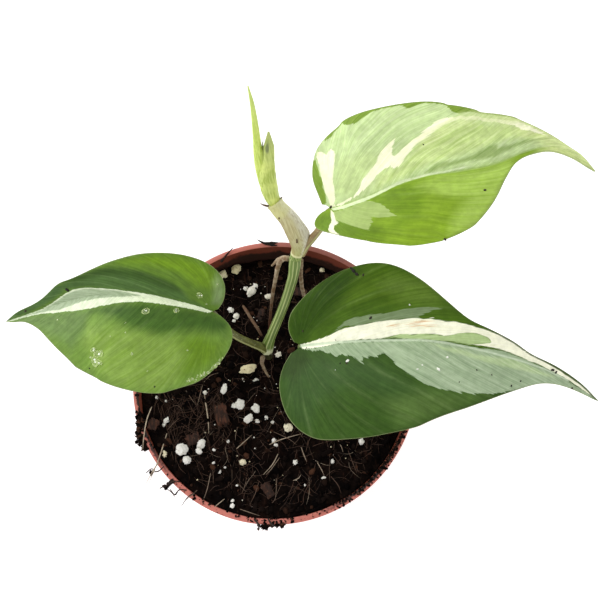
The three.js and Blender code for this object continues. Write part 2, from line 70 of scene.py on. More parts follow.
# %% [markdown]
# ## The camera
# The plant was seen steeply from above, a little from the front, with the camera tipped by nine degrees.
# A camera could be aimed with a Track To constraint, but then the tip of the picture is awkward to add.
# Building the three directions of the camera by hand and putting them in its matrix keeps them all plain.

# %% Set up the camera
PICTURE = 600
FOCAL = 750
SENSOR = 36
LOOK_DOWN = math.radians(74)
TIP = math.radians(-9)
EYE = Vector((13.8, -50.94, 354.52)) * MM

ahead = Vector((0, math.cos(LOOK_DOWN), -math.sin(LOOK_DOWN)))
flat_right = Vector((1, 0, 0))
flat_up = flat_right.cross(ahead)
right = math.cos(TIP) * flat_right + math.sin(TIP) * flat_up
up = -math.sin(TIP) * flat_right + math.cos(TIP) * flat_up

camera_lens = bpy.data.cameras.new("plant_camera")
camera_lens.sensor_width = SENSOR
camera_lens.lens = SENSOR * FOCAL / PICTURE
camera_lens.clip_start = 10 * MM
camera = put_in_scene("plant_camera", camera_lens)
camera.matrix_world = Matrix.Translation(EYE) @ Matrix((right, up, -ahead)).transposed().to_4x4()
bpy.context.scene.camera = camera
print("camera lens:", round(camera_lens.lens, 1), "mm")

# %% [markdown]
# ## A habit for finishes
# Every surface of a plant mixes several greens through masks and noise. Wiring that node by node fills
# pages, so a small class keeps the habits in one place: a mix, a step, a noise, a bump. The shader's own
# sockets still carry each number that is the same all over the surface.

# %% Colours and node habits
def tint(red, green, blue):
    """A paint colour from display values 0 to 255, as the linear colour a shader wants."""
    linear = [((c / 255 + 0.055) / 1.055) ** 2.4 if c > 10 else c / 3295 for c in (red, green, blue)]
    return (*linear, 1)


class Finish:
    """A material with the few node habits that this plant needs."""

    def __init__(self, name, roughness=0.5, gloss=0.5):
        self.material = bpy.data.materials.new(name)
        self.material.use_nodes = True
        self.tree = self.material.node_tree
        self.shader = self.tree.nodes["Principled BSDF"]
        self.shader.inputs["Roughness"].default_value = roughness
        self.shader.inputs["Specular IOR Level"].default_value = gloss

    def feed(self, socket, value):
        if isinstance(value, bpy.types.NodeSocket):
            self.tree.links.new(value, socket)
        else:
            socket.default_value = value

    def node(self, kind, values=None, **settings):
        node = self.tree.nodes.new("ShaderNode" + kind)
        for name, value in settings.items():
            setattr(node, name, value)
        for name, value in (values or {}).items():
            self.feed(node.inputs[name], value)
        return node

    def stored(self, name):
        return self.node("Attribute", attribute_name=name).outputs["Fac"]

    def where(self):
        """Object coordinates, in metres in the frame's own axes."""
        return self.node("TexCoord").outputs["Object"]

    def place(self, stretch=(1, 1, 1)):
        return self.node("Mapping", {"Vector": self.where(), "Scale": stretch}).outputs[0]

    def grain(self, direction, stretch=8):
        """Object coordinates drawn out along a direction, for streaks that run down a limb."""
        turn = Vector(direction).to_track_quat("Z", "Y").to_euler()
        values = {"Vector": self.where(), "Rotation": turn, "Scale": (1, 1, stretch)}
        return self.node("Mapping", values, vector_type="TEXTURE").outputs[0]

    def veins(self, across, along):
        """The blade's own map, with so many turns of noise across it and along it."""
        where = self.node("UVMap", uv_map="veins").outputs[0]
        return self.node("Mapping", {"Vector": where, "Scale": (across, along, 1)}).outputs[0]

    def noise(self, where, scale, detail=3, rough=0.55):
        values = {"Vector": where, "Scale": scale, "Detail": detail, "Roughness": rough}
        return self.node("TexNoise", values).outputs[0]

    def sum(self, first, second):
        return self.node("Math", {0: first, 1: second}).outputs[0]

    def times(self, first, second):
        return self.node("Math", {0: first, 1: second}, operation="MULTIPLY").outputs[0]

    def apart(self, value, centre):
        """How far a value is from a centre, on either side."""
        return self.node("Math", {0: self.sum(value, -centre)}, operation="ABSOLUTE").outputs[0]

    def step(self, value, low, high, start=0, end=1):
        values = {"Value": value, "From Min": low, "From Max": high, "To Min": start, "To Max": end}
        return self.node("MapRange", values, interpolation_type="SMOOTHSTEP").outputs[0]

    def mix(self, mask, first, second):
        return self.node("Mix", {0: mask, 6: first, 7: second}, data_type="RGBA").outputs[2]

    def coat(self, shade, value, low, high, most, colour):
        """A colour over the shade where a value climbs from low to high; most is its full strength."""
        return self.mix(self.step(value, low, high, 0, most), shade, colour)

    def weigh(self, colour, value):
        return self.node("HueSaturation", {"Color": colour, "Value": value}).outputs[0]

    def coordinate(self, axis):
        return self.node("SeparateXYZ", {0: self.where()}).outputs[axis]

    def bump(self, height, depth, strength=1.0):
        under = self.shader.inputs["Normal"]
        values = {"Height": height, "Distance": depth * MM, "Strength": strength}
        if under.is_linked:
            values["Normal"] = under.links[0].from_socket
        self.feed(under, self.node("Bump", values).outputs[0])

    def paint(self, colour, roughness=None):
        self.feed(self.shader.inputs["Base Color"], colour)
        if roughness is not None:
            self.feed(self.shader.inputs["Roughness"], roughness)
        return self.material


print("leaf green for a shader:", [round(part, 3) for part in tint(96, 130, 42)])

# %% [markdown]
# ## Floor and light
# The plant stands on a plain pale sheet. A plane could be added with an operator from the menu, but a grid
# made in a bmesh needs no selection or active object. It glows faintly, so that it stays pale all round.

# %% Floor
FLOOR_REACH = 3
bpy.context.scene.view_settings.view_transform = "Standard"

bm = bmesh.new()
bmesh.ops.create_grid(bm, x_segments=1, y_segments=1, size=FLOOR_REACH)
floor_mesh = mesh_from("pale_floor", bm)
floor = put_in_scene("pale_floor", floor_mesh)

paper = Finish("floor_paper", roughness=0.9, gloss=0.1)
paper.shader.inputs["Emission Color"].default_value = (1, 1, 1, 1)
paper.shader.inputs["Emission Strength"].default_value = 0.4
grain = paper.noise(paper.place(), 40)
floor_mesh.materials.append(paper.paint(paper.mix(grain, (0.9, 0.9, 0.9, 1), (0.93, 0.93, 0.93, 1))))
print("floor is", 2 * FLOOR_REACH, "m wide")

# %% [markdown]
# Soft daylight comes from the back and the left. A sun lamp would draw hard edges, so one large disc of
# light gives the direction. A pale world, dimmer overhead than round the sides, fills the shadows without
# putting a milky shine on every flat leaf.

# %% World and lamp
world = bpy.data.worlds.new("pale_room")
world.use_nodes = True
sky = world.node_tree
direction = sky.nodes.new("ShaderNodeTexCoord").outputs["Generated"]
height = sky.nodes.new("ShaderNodeSeparateXYZ")
shading = sky.nodes.new("ShaderNodeMapRange")
shading.interpolation_type = "SMOOTHSTEP"
for socket, value in (("From Min", 0.55), ("From Max", 1.0), ("To Min", 1.12), ("To Max", 0.45)):
    shading.inputs[socket].default_value = value
sky.links.new(direction, height.inputs[0])
sky.links.new(height.outputs["Z"], shading.inputs["Value"])
sky.links.new(shading.outputs[0], sky.nodes["Background"].inputs["Strength"])
sky.nodes["Background"].inputs["Color"].default_value = (1, 1, 1, 1)
bpy.context.scene.world = world

lamp_light = bpy.data.lights.new("window", "AREA")
lamp_light.shape = "DISK"
lamp_light.size = 1.3
lamp_light.energy = 11
lamp = put_in_scene("window", lamp_light)
lamp_place = Vector((-0.85, 0.75, 0.95))
lamp_turn = lamp_place.to_track_quat("Z", "Y").to_matrix().to_4x4()
lamp.matrix_world = Matrix.Translation(lamp_place) @ lamp_turn
print("lamp stands", round(lamp_place.length, 2), "m away")

# %% [markdown]
# ## Keeping a finished piece
# A finished piece is a mesh at the origin that rides on the one rigid body and hides the frame nodes it
# stands for. Doing that in one helper means that no piece forgets a step.

# %% Keep a piece
def keep(name, bm, finishes, stands_for=()):
    """A piece made of a finished bmesh, with its body and the nodes it stands for."""
    mesh = mesh_from(name, bm)
    for finish in finishes:
        mesh.materials.append(finish)
    mesh.shade_smooth()
    piece = put_in_scene(name, mesh)
    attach(piece, "root")
    if stands_for:
        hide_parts(*stands_for)
    print(name, len(mesh.polygons), "faces")
    return piece


# %% [markdown]
# ## Smooth lines and limbs
# Stalks, stem, roots and straws are all round limbs along a bent line. A curve object with a bevel would
# do, but it can't swell, flatten or carry ridges. So a limb is grown as a plant grows it: one ring is
# extruded from place to place, and each new ring is set to its own width. Every corner remembers how far
# along and how far around it is, and the finishes read that.

# %% Grow a limb
def smooth_line(points, t):
    """Places at t, from 0 to 1, on an even smooth line through the points."""
    points = np.asarray(points, float)
    spans = len(points) - 1
    t = np.clip(np.asarray(t, float), 0, 1) * spans
    first = np.minimum(t.astype(int), spans - 1)
    u = (t - first)[..., None]
    ends = np.vstack([2 * points[0] - points[1], points, 2 * points[-1] - points[-2]])
    a, b, c, d = (ends[first + k] for k in range(4))
    bend, twist = 2 * a - 5 * b + 4 * c - d, 3 * b - a - 3 * c + d
    return 0.5 * (2 * b + (c - a) * u + bend * u**2 + twist * u**3)


def limb_layers(bm):
    for name in ("travel", "around", "tone"):
        if bm.verts.layers.float.get(name) is None:
            bm.verts.layers.float.new(name)


def grow_limb(bm, points, sizes, sides, steps, tone, relief=None):
    """A closed limb; sizes are radii, or (half width, half depth), along the points, all in mm.

    The tone is a number or follows angle and travel; the relief is a share of the size.
    """
    limb_layers(bm)
    travel, around, shade = (bm.verts.layers.float[n] for n in ("travel", "around", "tone"))
    t = np.linspace(0, 1, steps + 1)
    places = smooth_line(points, t)
    headings = np.gradient(places, axis=0)
    sizes = np.array([s if isinstance(s, (list, tuple)) else (s, s) for s in sizes], float)
    marks = np.linspace(0, 1, len(sizes))
    wide, deep = np.interp(t, marks, sizes[:, 0]), np.interp(t, marks, sizes[:, 1])
    lengths = np.concatenate([[0], np.cumsum(np.linalg.norm(np.diff(places, axis=0), axis=1))])
    ring = bmesh.ops.create_circle(bm, cap_ends=True, segments=sides, radius=1)["verts"]
    for vert in ring:
        vert[around] = math.atan2(vert.co.y, vert.co.x)
    edges = list({edge for vert in ring for edge in vert.link_edges})
    made = list(ring)
    side = Vector((1, 0, 0))
    for k in range(steps + 1):
        if k:
            grown = bmesh.ops.extrude_edge_only(bm, edges=edges)["geom"]
            ring = [g for g in grown if isinstance(g, bmesh.types.BMVert)]
            rim = set(ring)
            edges = [g for g in grown if isinstance(g, bmesh.types.BMEdge) and rim.issuperset(g.verts)]
            made += ring
        heading = Vector(headings[k]).normalized()
        side = (side - heading * side.dot(heading)).normalized()
        depth = heading.cross(side)
        for vert in ring:
            angle = vert[around]
            swell = 1 + (relief(angle, lengths[k], t[k]) if relief else 0)
            out = side * math.cos(angle) * wide[k] + depth * math.sin(angle) * deep[k]
            vert.co = (Vector(places[k]) + out * swell) * MM
            vert[travel] = lengths[k]
            vert[shade] = tone(angle, lengths[k]) if callable(tone) else tone
    bmesh.ops.contextual_create(bm, geom=edges)
    faces = list({face for vert in made for face in vert.link_faces})
    bmesh.ops.recalc_face_normals(bm, faces=faces)


trial = smooth_line([(0, 0, 0), (5, 0, 8), (0, 0, 16)], 0.25)
print("a quarter of the way along a trial line:", trial.round(2))

# %% [markdown]
# ## The pot
# The pot is thin moulded plastic: a tapering cup with a stepped collar under a blunt rim. Its wall is a
# profile of a few corners, spun once round the axis. A stack of scaled cylinders would need each step
# joined by hand, and the lip would lose its small rounding.

# %% Pot sizes and profile
RIM_RADIUS = 52.5
POT_HEIGHT = 82
BASE_RADIUS = 37
WALL = 1.4
COLLAR_BOTTOM = 65.4
COLLAR_STEP = 3.3
lean = (RIM_RADIUS - 0.4 - BASE_RADIUS - COLLAR_STEP) / POT_HEIGHT
body_top = BASE_RADIUS + lean * COLLAR_BOTTOM
collar_top = POT_HEIGHT - 1.4


def wall_at(z):
    """Outer radius of the pot's body at a height below the collar."""
    return BASE_RADIUS + (body_top - BASE_RADIUS) * (z - 1.2) / (COLLAR_BOTTOM - 1.2)


pot_profile = [
    (0, 0.5), (BASE_RADIUS - 5, 0.5), (BASE_RADIUS - 4.4, 0), (BASE_RADIUS - 1.2, 0),
    (BASE_RADIUS - 0.35, 0.35), (BASE_RADIUS, 1.2), (wall_at(7.5), 7.5), (wall_at(7.9) + 0.25, 7.9),
    (wall_at(9.1) + 0.25, 9.1), (wall_at(9.5), 9.5), (wall_at(38), 38), (wall_at(60), 60),
    (body_top, COLLAR_BOTTOM), (body_top + COLLAR_STEP - 0.3, COLLAR_BOTTOM + 0.1),
    (body_top + COLLAR_STEP, COLLAR_BOTTOM + 0.5), (RIM_RADIUS - 0.8, collar_top - 6),
    (RIM_RADIUS - 0.4, collar_top), (RIM_RADIUS, collar_top + 0.5), (RIM_RADIUS, POT_HEIGHT - 0.5),
    (RIM_RADIUS - 0.15, POT_HEIGHT - 0.15), (RIM_RADIUS - 0.5, POT_HEIGHT),
    (RIM_RADIUS - 1.7, POT_HEIGHT), (RIM_RADIUS - 2.0, POT_HEIGHT - 0.15),
    (RIM_RADIUS - 2.1, POT_HEIGHT - 0.5), (RIM_RADIUS - 2.1, collar_top),
    (body_top + COLLAR_STEP - WALL, COLLAR_BOTTOM + 1.8), (body_top - WALL, COLLAR_BOTTOM + 0.5),
    (BASE_RADIUS - WALL, 2.2), (BASE_RADIUS - WALL - 0.8, 1.6), (0, 1.6),
]
print("pot profile corners:", len(pot_profile))

# %% [markdown]
# The pot and the plug of peat in it are both round, so one pair of helpers draws a profile and spins it.
# A Screw modifier would spin it too, but a bmesh tells at once how many faces came of it.

# %% Draw and spin a profile
def draw_profile(points):
    """Corners at (radius, height) in mm, joined in their order."""
    bm = bmesh.new()
    corners = [bm.verts.new((r * MM, 0, z * MM)) for r, z in points]
    return bm, [bm.edges.new(pair) for pair in zip(corners, corners[1:])]


def spin_round(bm, steps):
    """Turn a profile once round the pot's axis, close it and face it outward."""
    bmesh.ops.spin(bm, geom=bm.verts[:] + bm.edges[:], cent=(0, 0, 0), axis=(0, 0, 1), dvec=(0, 0, 0),
                   angle=2 * math.pi, steps=steps, use_merge=True, use_duplicate=False)
    bmesh.ops.remove_doubles(bm, verts=bm.verts, dist=1e-6)
    bmesh.ops.recalc_face_normals(bm, faces=bm.faces)


pot_bm, _ = draw_profile(pot_profile)
spin_round(pot_bm, steps=160)
print("pot faces before punching:", len(pot_bm.faces))

# %% [markdown]
# The plastic is terracotta red with a faint mottle, a grainy mould skin and dust in its hollows. One flat
# red would look like a toy. Below the top of the rim it is painted a little darker, as painted shade, so
# that the top reads as lit. The rim takes two more coats: a painted shadow of the leaves at the back
# right, and a film of peat on the sides where soil was brushed over it. Both follow directions across the
# pot.

# %% Pot plastic
plastic = Finish("pot_plastic", roughness=0.5, gloss=0.45)
mottle = plastic.noise(plastic.place(), 45, 4)
moulded = plastic.noise(plastic.place((1, 1, 0.25)), 900, 2)
dusty = plastic.step(plastic.noise(plastic.place(), 160, 5, 0.7), 0.56, 0.7)
body_red = plastic.mix(mottle, tint(184, 100, 87), tint(204, 122, 108))
dusted = plastic.mix(plastic.times(dusty, 0.3), body_red, tint(120, 62, 48))
plastic.bump(moulded, 0.03, 0.5)
plastic.bump(mottle, 0.12, 0.4)
# painted shade: all plastic below the rim's top is darker, so that the top looks lit
shaded_below_rim = plastic.step(plastic.coordinate("Z"), 79.5 * MM, 81.5 * MM, 0.74, 1)
FRONT_RIGHT, LEFT, HIGH_BACK = (0.62, -0.78, 0), (-0.98, -0.15, 0), (0.8, 0.6, 0.6)
front_right, left, high_back = (
    plastic.node("VectorMath", {0: plastic.where(), 1: heading}, operation="DOT_PRODUCT").outputs["Value"]
    for heading in (FRONT_RIGHT, LEFT, HIGH_BACK))
sides = plastic.sum(*(plastic.step(value, 43 * MM, 50 * MM) for value in (front_right, left)))
# painted shadow of the leaves on the back right of the rim, fading down the outside of the pot
leaf_shadow_back = plastic.step(high_back, 76 * MM, 96 * MM, 1, 0.42)
from_axis = plastic.node("VectorMath", {0: plastic.place((1, 1, 0))}, operation="LENGTH").outputs["Value"]
inward_more = plastic.step(from_axis, 50.6 * MM, 52.6 * MM, 0.25, -0.3)
crumbly = plastic.sum(plastic.noise(plastic.place(), 700, 4, 0.7), inward_more)
film = plastic.times(sides, plastic.step(crumbly, 0.45, 0.6))
film = plastic.times(film, plastic.step(plastic.coordinate("Z"), 81 * MM, 81.6 * MM))
shaded = plastic.weigh(plastic.weigh(dusted, shaded_below_rim), leaf_shadow_back)
soil_stained = plastic.mix(film, shaded, tint(34, 16, 11))
plastic.paint(soil_stained, plastic.step(mottle, 0.3, 0.7, 0.42, 0.6))
print("plastic nodes:", len(plastic.tree.nodes))

# %% [markdown]
# Inside, the wall is the same red plastic painted darker, as painted shade, with dark smears of wet peat
# that grow thicker towards the soil. It gets a finish of its own, and only the faces that look inward
# above the soil take it.

# %% Shaded and soiled inner wall
inner_shade_and_dirt = Finish("inner_wall_shade_and_dirt", roughness=0.75, gloss=0.2)
smear = inner_shade_and_dirt.noise(inner_shade_and_dirt.place((1, 1, 0.5)), 130, 5, 0.65)
# painted shade: the inner wall is the pot's red, painted darker
shaded_wall_red = inner_shade_and_dirt.mix(inner_shade_and_dirt.noise(inner_shade_and_dirt.place(), 60, 3), tint(104, 46, 31), tint(136, 70, 53))
# the dark smears spread further towards the soil
low_down = inner_shade_and_dirt.step(inner_shade_and_dirt.coordinate("Z"), 75 * MM, 81.5 * MM, 0.28, -0.2)
dark_smears = inner_shade_and_dirt.step(inner_shade_and_dirt.sum(smear, low_down), 0.52, 0.72, 0, 0.9)
inner_shade_and_dirt.bump(smear, 0.3, 0.6)
inner_shade_and_dirt.paint(inner_shade_and_dirt.mix(dark_smears, shaded_wall_red, tint(30, 20, 15)))

INNER_FINISH_FROM = 60
UPRIGHT = 0.6
for face in pot_bm.faces:
    middle = face.calc_center_median()
    inward = face.normal.x * middle.x + face.normal.y * middle.y < 0
    inner_finish_here = inward and middle.z > INNER_FINISH_FROM * MM and abs(face.normal.z) < UPRIGHT
    face.material_index = 1 if inner_finish_here else 0
pot = keep("nursery_pot", pot_bm, [plastic.material, inner_shade_and_dirt.material], ["pot"])

# %% [markdown]
# Water leaves through a ring of holes in the base. No spin can make them, so they are cut with a Boolean
# by a set of short rods, as a punch would do it. The result is written into the mesh at once, which lets
# the rods go.

# %% Punch the drain holes
HOLES = 6
HOLE_RADIUS = 4
HOLE_RING = 24
punch_bm = bmesh.new()
for k in range(HOLES):
    angle = (k + 0.5) / HOLES * 2 * math.pi
    spot = Vector((HOLE_RING * math.cos(angle), HOLE_RING * math.sin(angle), 1)) * MM
    bmesh.ops.create_cone(punch_bm, cap_ends=True, segments=32, radius1=HOLE_RADIUS * MM,
                          radius2=HOLE_RADIUS * MM, depth=8 * MM, matrix=Matrix.Translation(spot))
punch = put_in_scene("punch", mesh_from("punch", punch_bm))
cut = pot.modifiers.new("drain_holes", "BOOLEAN")
cut.object = punch
cut.operation = "DIFFERENCE"
cut.solver = "EXACT"
graph = bpy.context.evaluated_depsgraph_get()
punched = bpy.data.meshes.new_from_object(pot.evaluated_get(graph))
pot.modifiers.clear()
pot.data = punched
bpy.data.objects.remove(punch)
pot.data.set_sharp_from_angle(angle=math.radians(35))
print("pot faces after punching:", len(pot.data.polygons))

# %% [markdown]
# ## The leaf blades
# A blade is a thin heart-shaped sheet that hangs from its midrib and curls down to both sides. Cloth or
# sculpting would lose the measured outline. Instead one grid is laid out as the leaf grows: its columns
# run from margin to margin and its rows are the veins, which all leave the joint or the midrib and sweep
# towards the tip. Because the grid's own map is kept, every streak and ragged patch can follow the veins.
#
# Each leaf has a midrib in space and a margin for either half, as distance along the midrib and out from
# it. Bank turns the blade about its midrib at the stalk and at the tip, rise is how steeply each half
# leaves the midrib, and turn is how far it curls back down at its widest, all in degrees.

# %% Leaf sizes
LEAVES = {
    "leaf_left": {
        "rib": [(-16, 19.5, 111), (-26, 23, 114.5), (-39, 27, 116), (-52.5, 30.5, 114.5),
                (-64, 31.5, 111), (-74, 31.5, 107), (-82.5, 31.5, 103.5), (-91.5, 31.5, 99)],
        "edges": [
            [(-2.5, 0.4), (-7.5, 3.8), (-9, 9.5), (-6, 17.5), (0, 25), (10, 30.5), (23, 31.7), (38, 29),
             (48, 25.5), (57, 17), (64, 7.8), (71, 2.8), (77, 1.3), (81, 0)],
            [(-1.4, 1.8), (-2.3, 6), (-0.5, 12.3), (6, 16.5), (14, 17.4), (24, 15.7), (33, 12.4),
             (42, 8.6), (48, 7.3), (52, 7), (59, 4.3), (66, 2.6), (74, 1.8), (81, 0)]],
        "bank": (-24, -12), "rise": (24, 28), "turn": (34, 46), "widest": (32, 27), "lobe": 0.24,
    },
    "leaf_lower": {
        "rib": [(11.5, 3, 112), (24.5, 1, 118), (40, -2, 122.5), (52, -4.5, 124), (64, -8.5, 123),
                (76, -13, 120), (87.5, -18, 116), (97, -23.5, 111), (105, -29.5, 106)],
        "edges": [
            [(-2, 1.5), (-3.5, 5.5), (-2, 10.8), (1.5, 14), (6.4, 17.5), (15.9, 22.8), (25.6, 25),
             (33, 23.7), (38.4, 20.4), (45.9, 13.5), (53, 8.9), (60, 7.2), (69, 5.2), (76, 3),
             (85.7, 2.3), (96, 1.4), (105.6, 0)],
            [(-3.2, 2.3), (-6.5, 7.5), (-7.4, 14.5), (-4, 23.8), (3, 30.2), (10.5, 31.6), (24, 30.8),
             (34, 28.7), (44, 26), (56, 19.8), (70, 11.5), (80, 5.7), (88, 3), (96, 1.6), (105.6, 0)]],
        "bank": (6, 4), "rise": (20, 20), "turn": (34, 34), "widest": (32, 34), "lobe": 0.2,
    },
    "leaf_upper": {
        "rib": [(27, 37.5, 142), (36.5, 37, 146), (45.5, 38, 149), (56, 39, 151), (66, 38.5, 151.5),
                (77, 39.5, 150.5), (87.5, 43, 148), (96, 44.5, 145), (104, 42.5, 141),
                (111.5, 38, 136)],
        "edges": [
            [(-2, 1.5), (-2.8, 7), (-3.2, 10.2), (-1.5, 16), (1.2, 20), (4.2, 22.3), (9.7, 24), (18, 24.7),
             (28, 23.2), (40, 20.5), (50.7, 17.2), (59, 14), (66, 8.5), (72, 4), (78.2, 1.8),
             (85, 1.2), (91.6, 0)],
            [(-2.4, 0.9), (-5.4, 3), (-5.1, 5.9), (-0.9, 8.4), (4.6, 11), (10, 13.8), (16.8, 18.2),
             (24, 20.5), (33.4, 21), (39.5, 18.7), (46, 13), (52, 5.8), (57, 2.4), (64, 1.5),
             (75, 1.5), (84, 1.1), (91.6, 0)]],
        "bank": (8, 4), "rise": (18, 22), "turn": (30, 36), "widest": (26, 24), "lobe": 0.2,
    },
}
MARKS = 401  # places kept along a midrib or a margin


def lengths_along(places):
    """Distance from the first place to each place of a line."""
    return np.concatenate([[0], np.cumsum(np.linalg.norm(np.diff(places, axis=0), axis=1))])


def even_margin(edge):
    """The margin as evenly spaced places, with the corners between its measured points eased."""
    places = smooth_line(edge, np.linspace(0, 1, 3 * MARKS - 2))
    lengths = lengths_along(places)
    marks = np.linspace(0, lengths[-1], MARKS)
    even = np.stack([np.interp(marks, lengths, places[:, k]) for k in range(2)], -1)
    reach = 12
    weights = np.exp(-np.linspace(-2.2, 2.2, 2 * reach + 1) ** 2 / 2)
    weights /= weights.sum()
    ends = np.vstack([2 * even[0] - even[reach:0:-1], even, 2 * even[-1] - even[-2:-reach - 2:-1]])
    return np.stack([np.convolve(ends[:, k], weights, "valid") for k in range(2)], -1)


for leaf in LEAVES.values():
    leaf["places"] = smooth_line(leaf["rib"], np.linspace(0, 1, MARKS))
    leaf["lengths"] = lengths_along(leaf["places"])
    leaf["headings"] = np.gradient(leaf["places"], axis=0)
    leaf["total"] = leaf["lengths"][-1]
    leaf["margins"] = [even_margin(edge) for edge in leaf["edges"]]
print("midrib lengths:", [round(leaf["total"], 1) for leaf in LEAVES.values()])

# %% [markdown]
# Drops, dirt and the blade itself all need to know where a point of the leaf lies once the blade is bent.
# Lattices could bend a flat leaf, but nothing else could then ask them for a place. A function that takes
# leaf millimetres and gives a place and a direction serves all three.

# %% Where a point of a blade lies in space
def unit(vectors):
    return vectors / np.linalg.norm(vectors, axis=-1, keepdims=True)


def blade_place(leaf, x, y):
    """Places in mm for points x along the midrib and y out from it, positive on the first half."""
    held = np.clip(x, 0, leaf["total"])
    spot = np.stack([np.interp(held, leaf["lengths"], leaf["places"][:, k]) for k in range(3)], -1)
    ahead = np.stack([np.interp(held, leaf["lengths"], leaf["headings"][:, k]) for k in range(3)], -1)
    heading = unit(ahead)
    spot = spot + heading * (x - held)[..., None]
    u = np.clip(x / leaf["total"], 0, 1)
    bank = np.radians(leaf["bank"][0] * (1 - u) + leaf["bank"][1] * u)[..., None]
    level = unit(np.stack([-heading[..., 1], heading[..., 0], np.zeros_like(x)], -1))
    normal = np.cross(heading, level)
    across = np.cos(bank) * level + np.sin(bank) * normal
    upward = np.cross(heading, across)
    half = np.where(y < 0, 1, 0)
    rise = np.radians(np.array(leaf["rise"]))[half]
    curl = (np.radians(np.array(leaf["turn"])) / np.array(leaf["widest"]))[half]
    out = np.abs(y)
    sideways = (np.sin(rise) - np.sin(rise - curl * out)) / curl
    lift = (np.cos(rise - curl * out) - np.cos(rise)) / curl
    lift = lift - np.where(x < 0, leaf["lobe"] * x * x / 10, 0)
    return spot + across * (np.sign(y) * sideways)[..., None] + upward * lift[..., None]


def blade_normal(leaf, x, y, reach=0.4):
    forward = blade_place(leaf, x + reach, y) - blade_place(leaf, x - reach, y)
    outward = blade_place(leaf, x, y + reach) - blade_place(leaf, x, y - reach)
    return unit(np.cross(forward, outward))


for name, leaf in LEAVES.items():
    tip = blade_place(leaf, np.array([leaf["total"]]), np.array([0.0]))[0]
    print(name, "tip at", tip.round(1), "mm")

# %% [markdown]
# The streaks of this plant are chimeral: whole cell layers without green, so each patch has a crisp edge
# that runs with the veins and breaks off in teeth. Painting them as an image would blur. Each patch is
# kept as a named outline in leaf millimetres, and the mesh stores how far each corner lies inside it. The
# shader then draws the edge where that distance crosses zero, with vein-wise noise for the teeth.

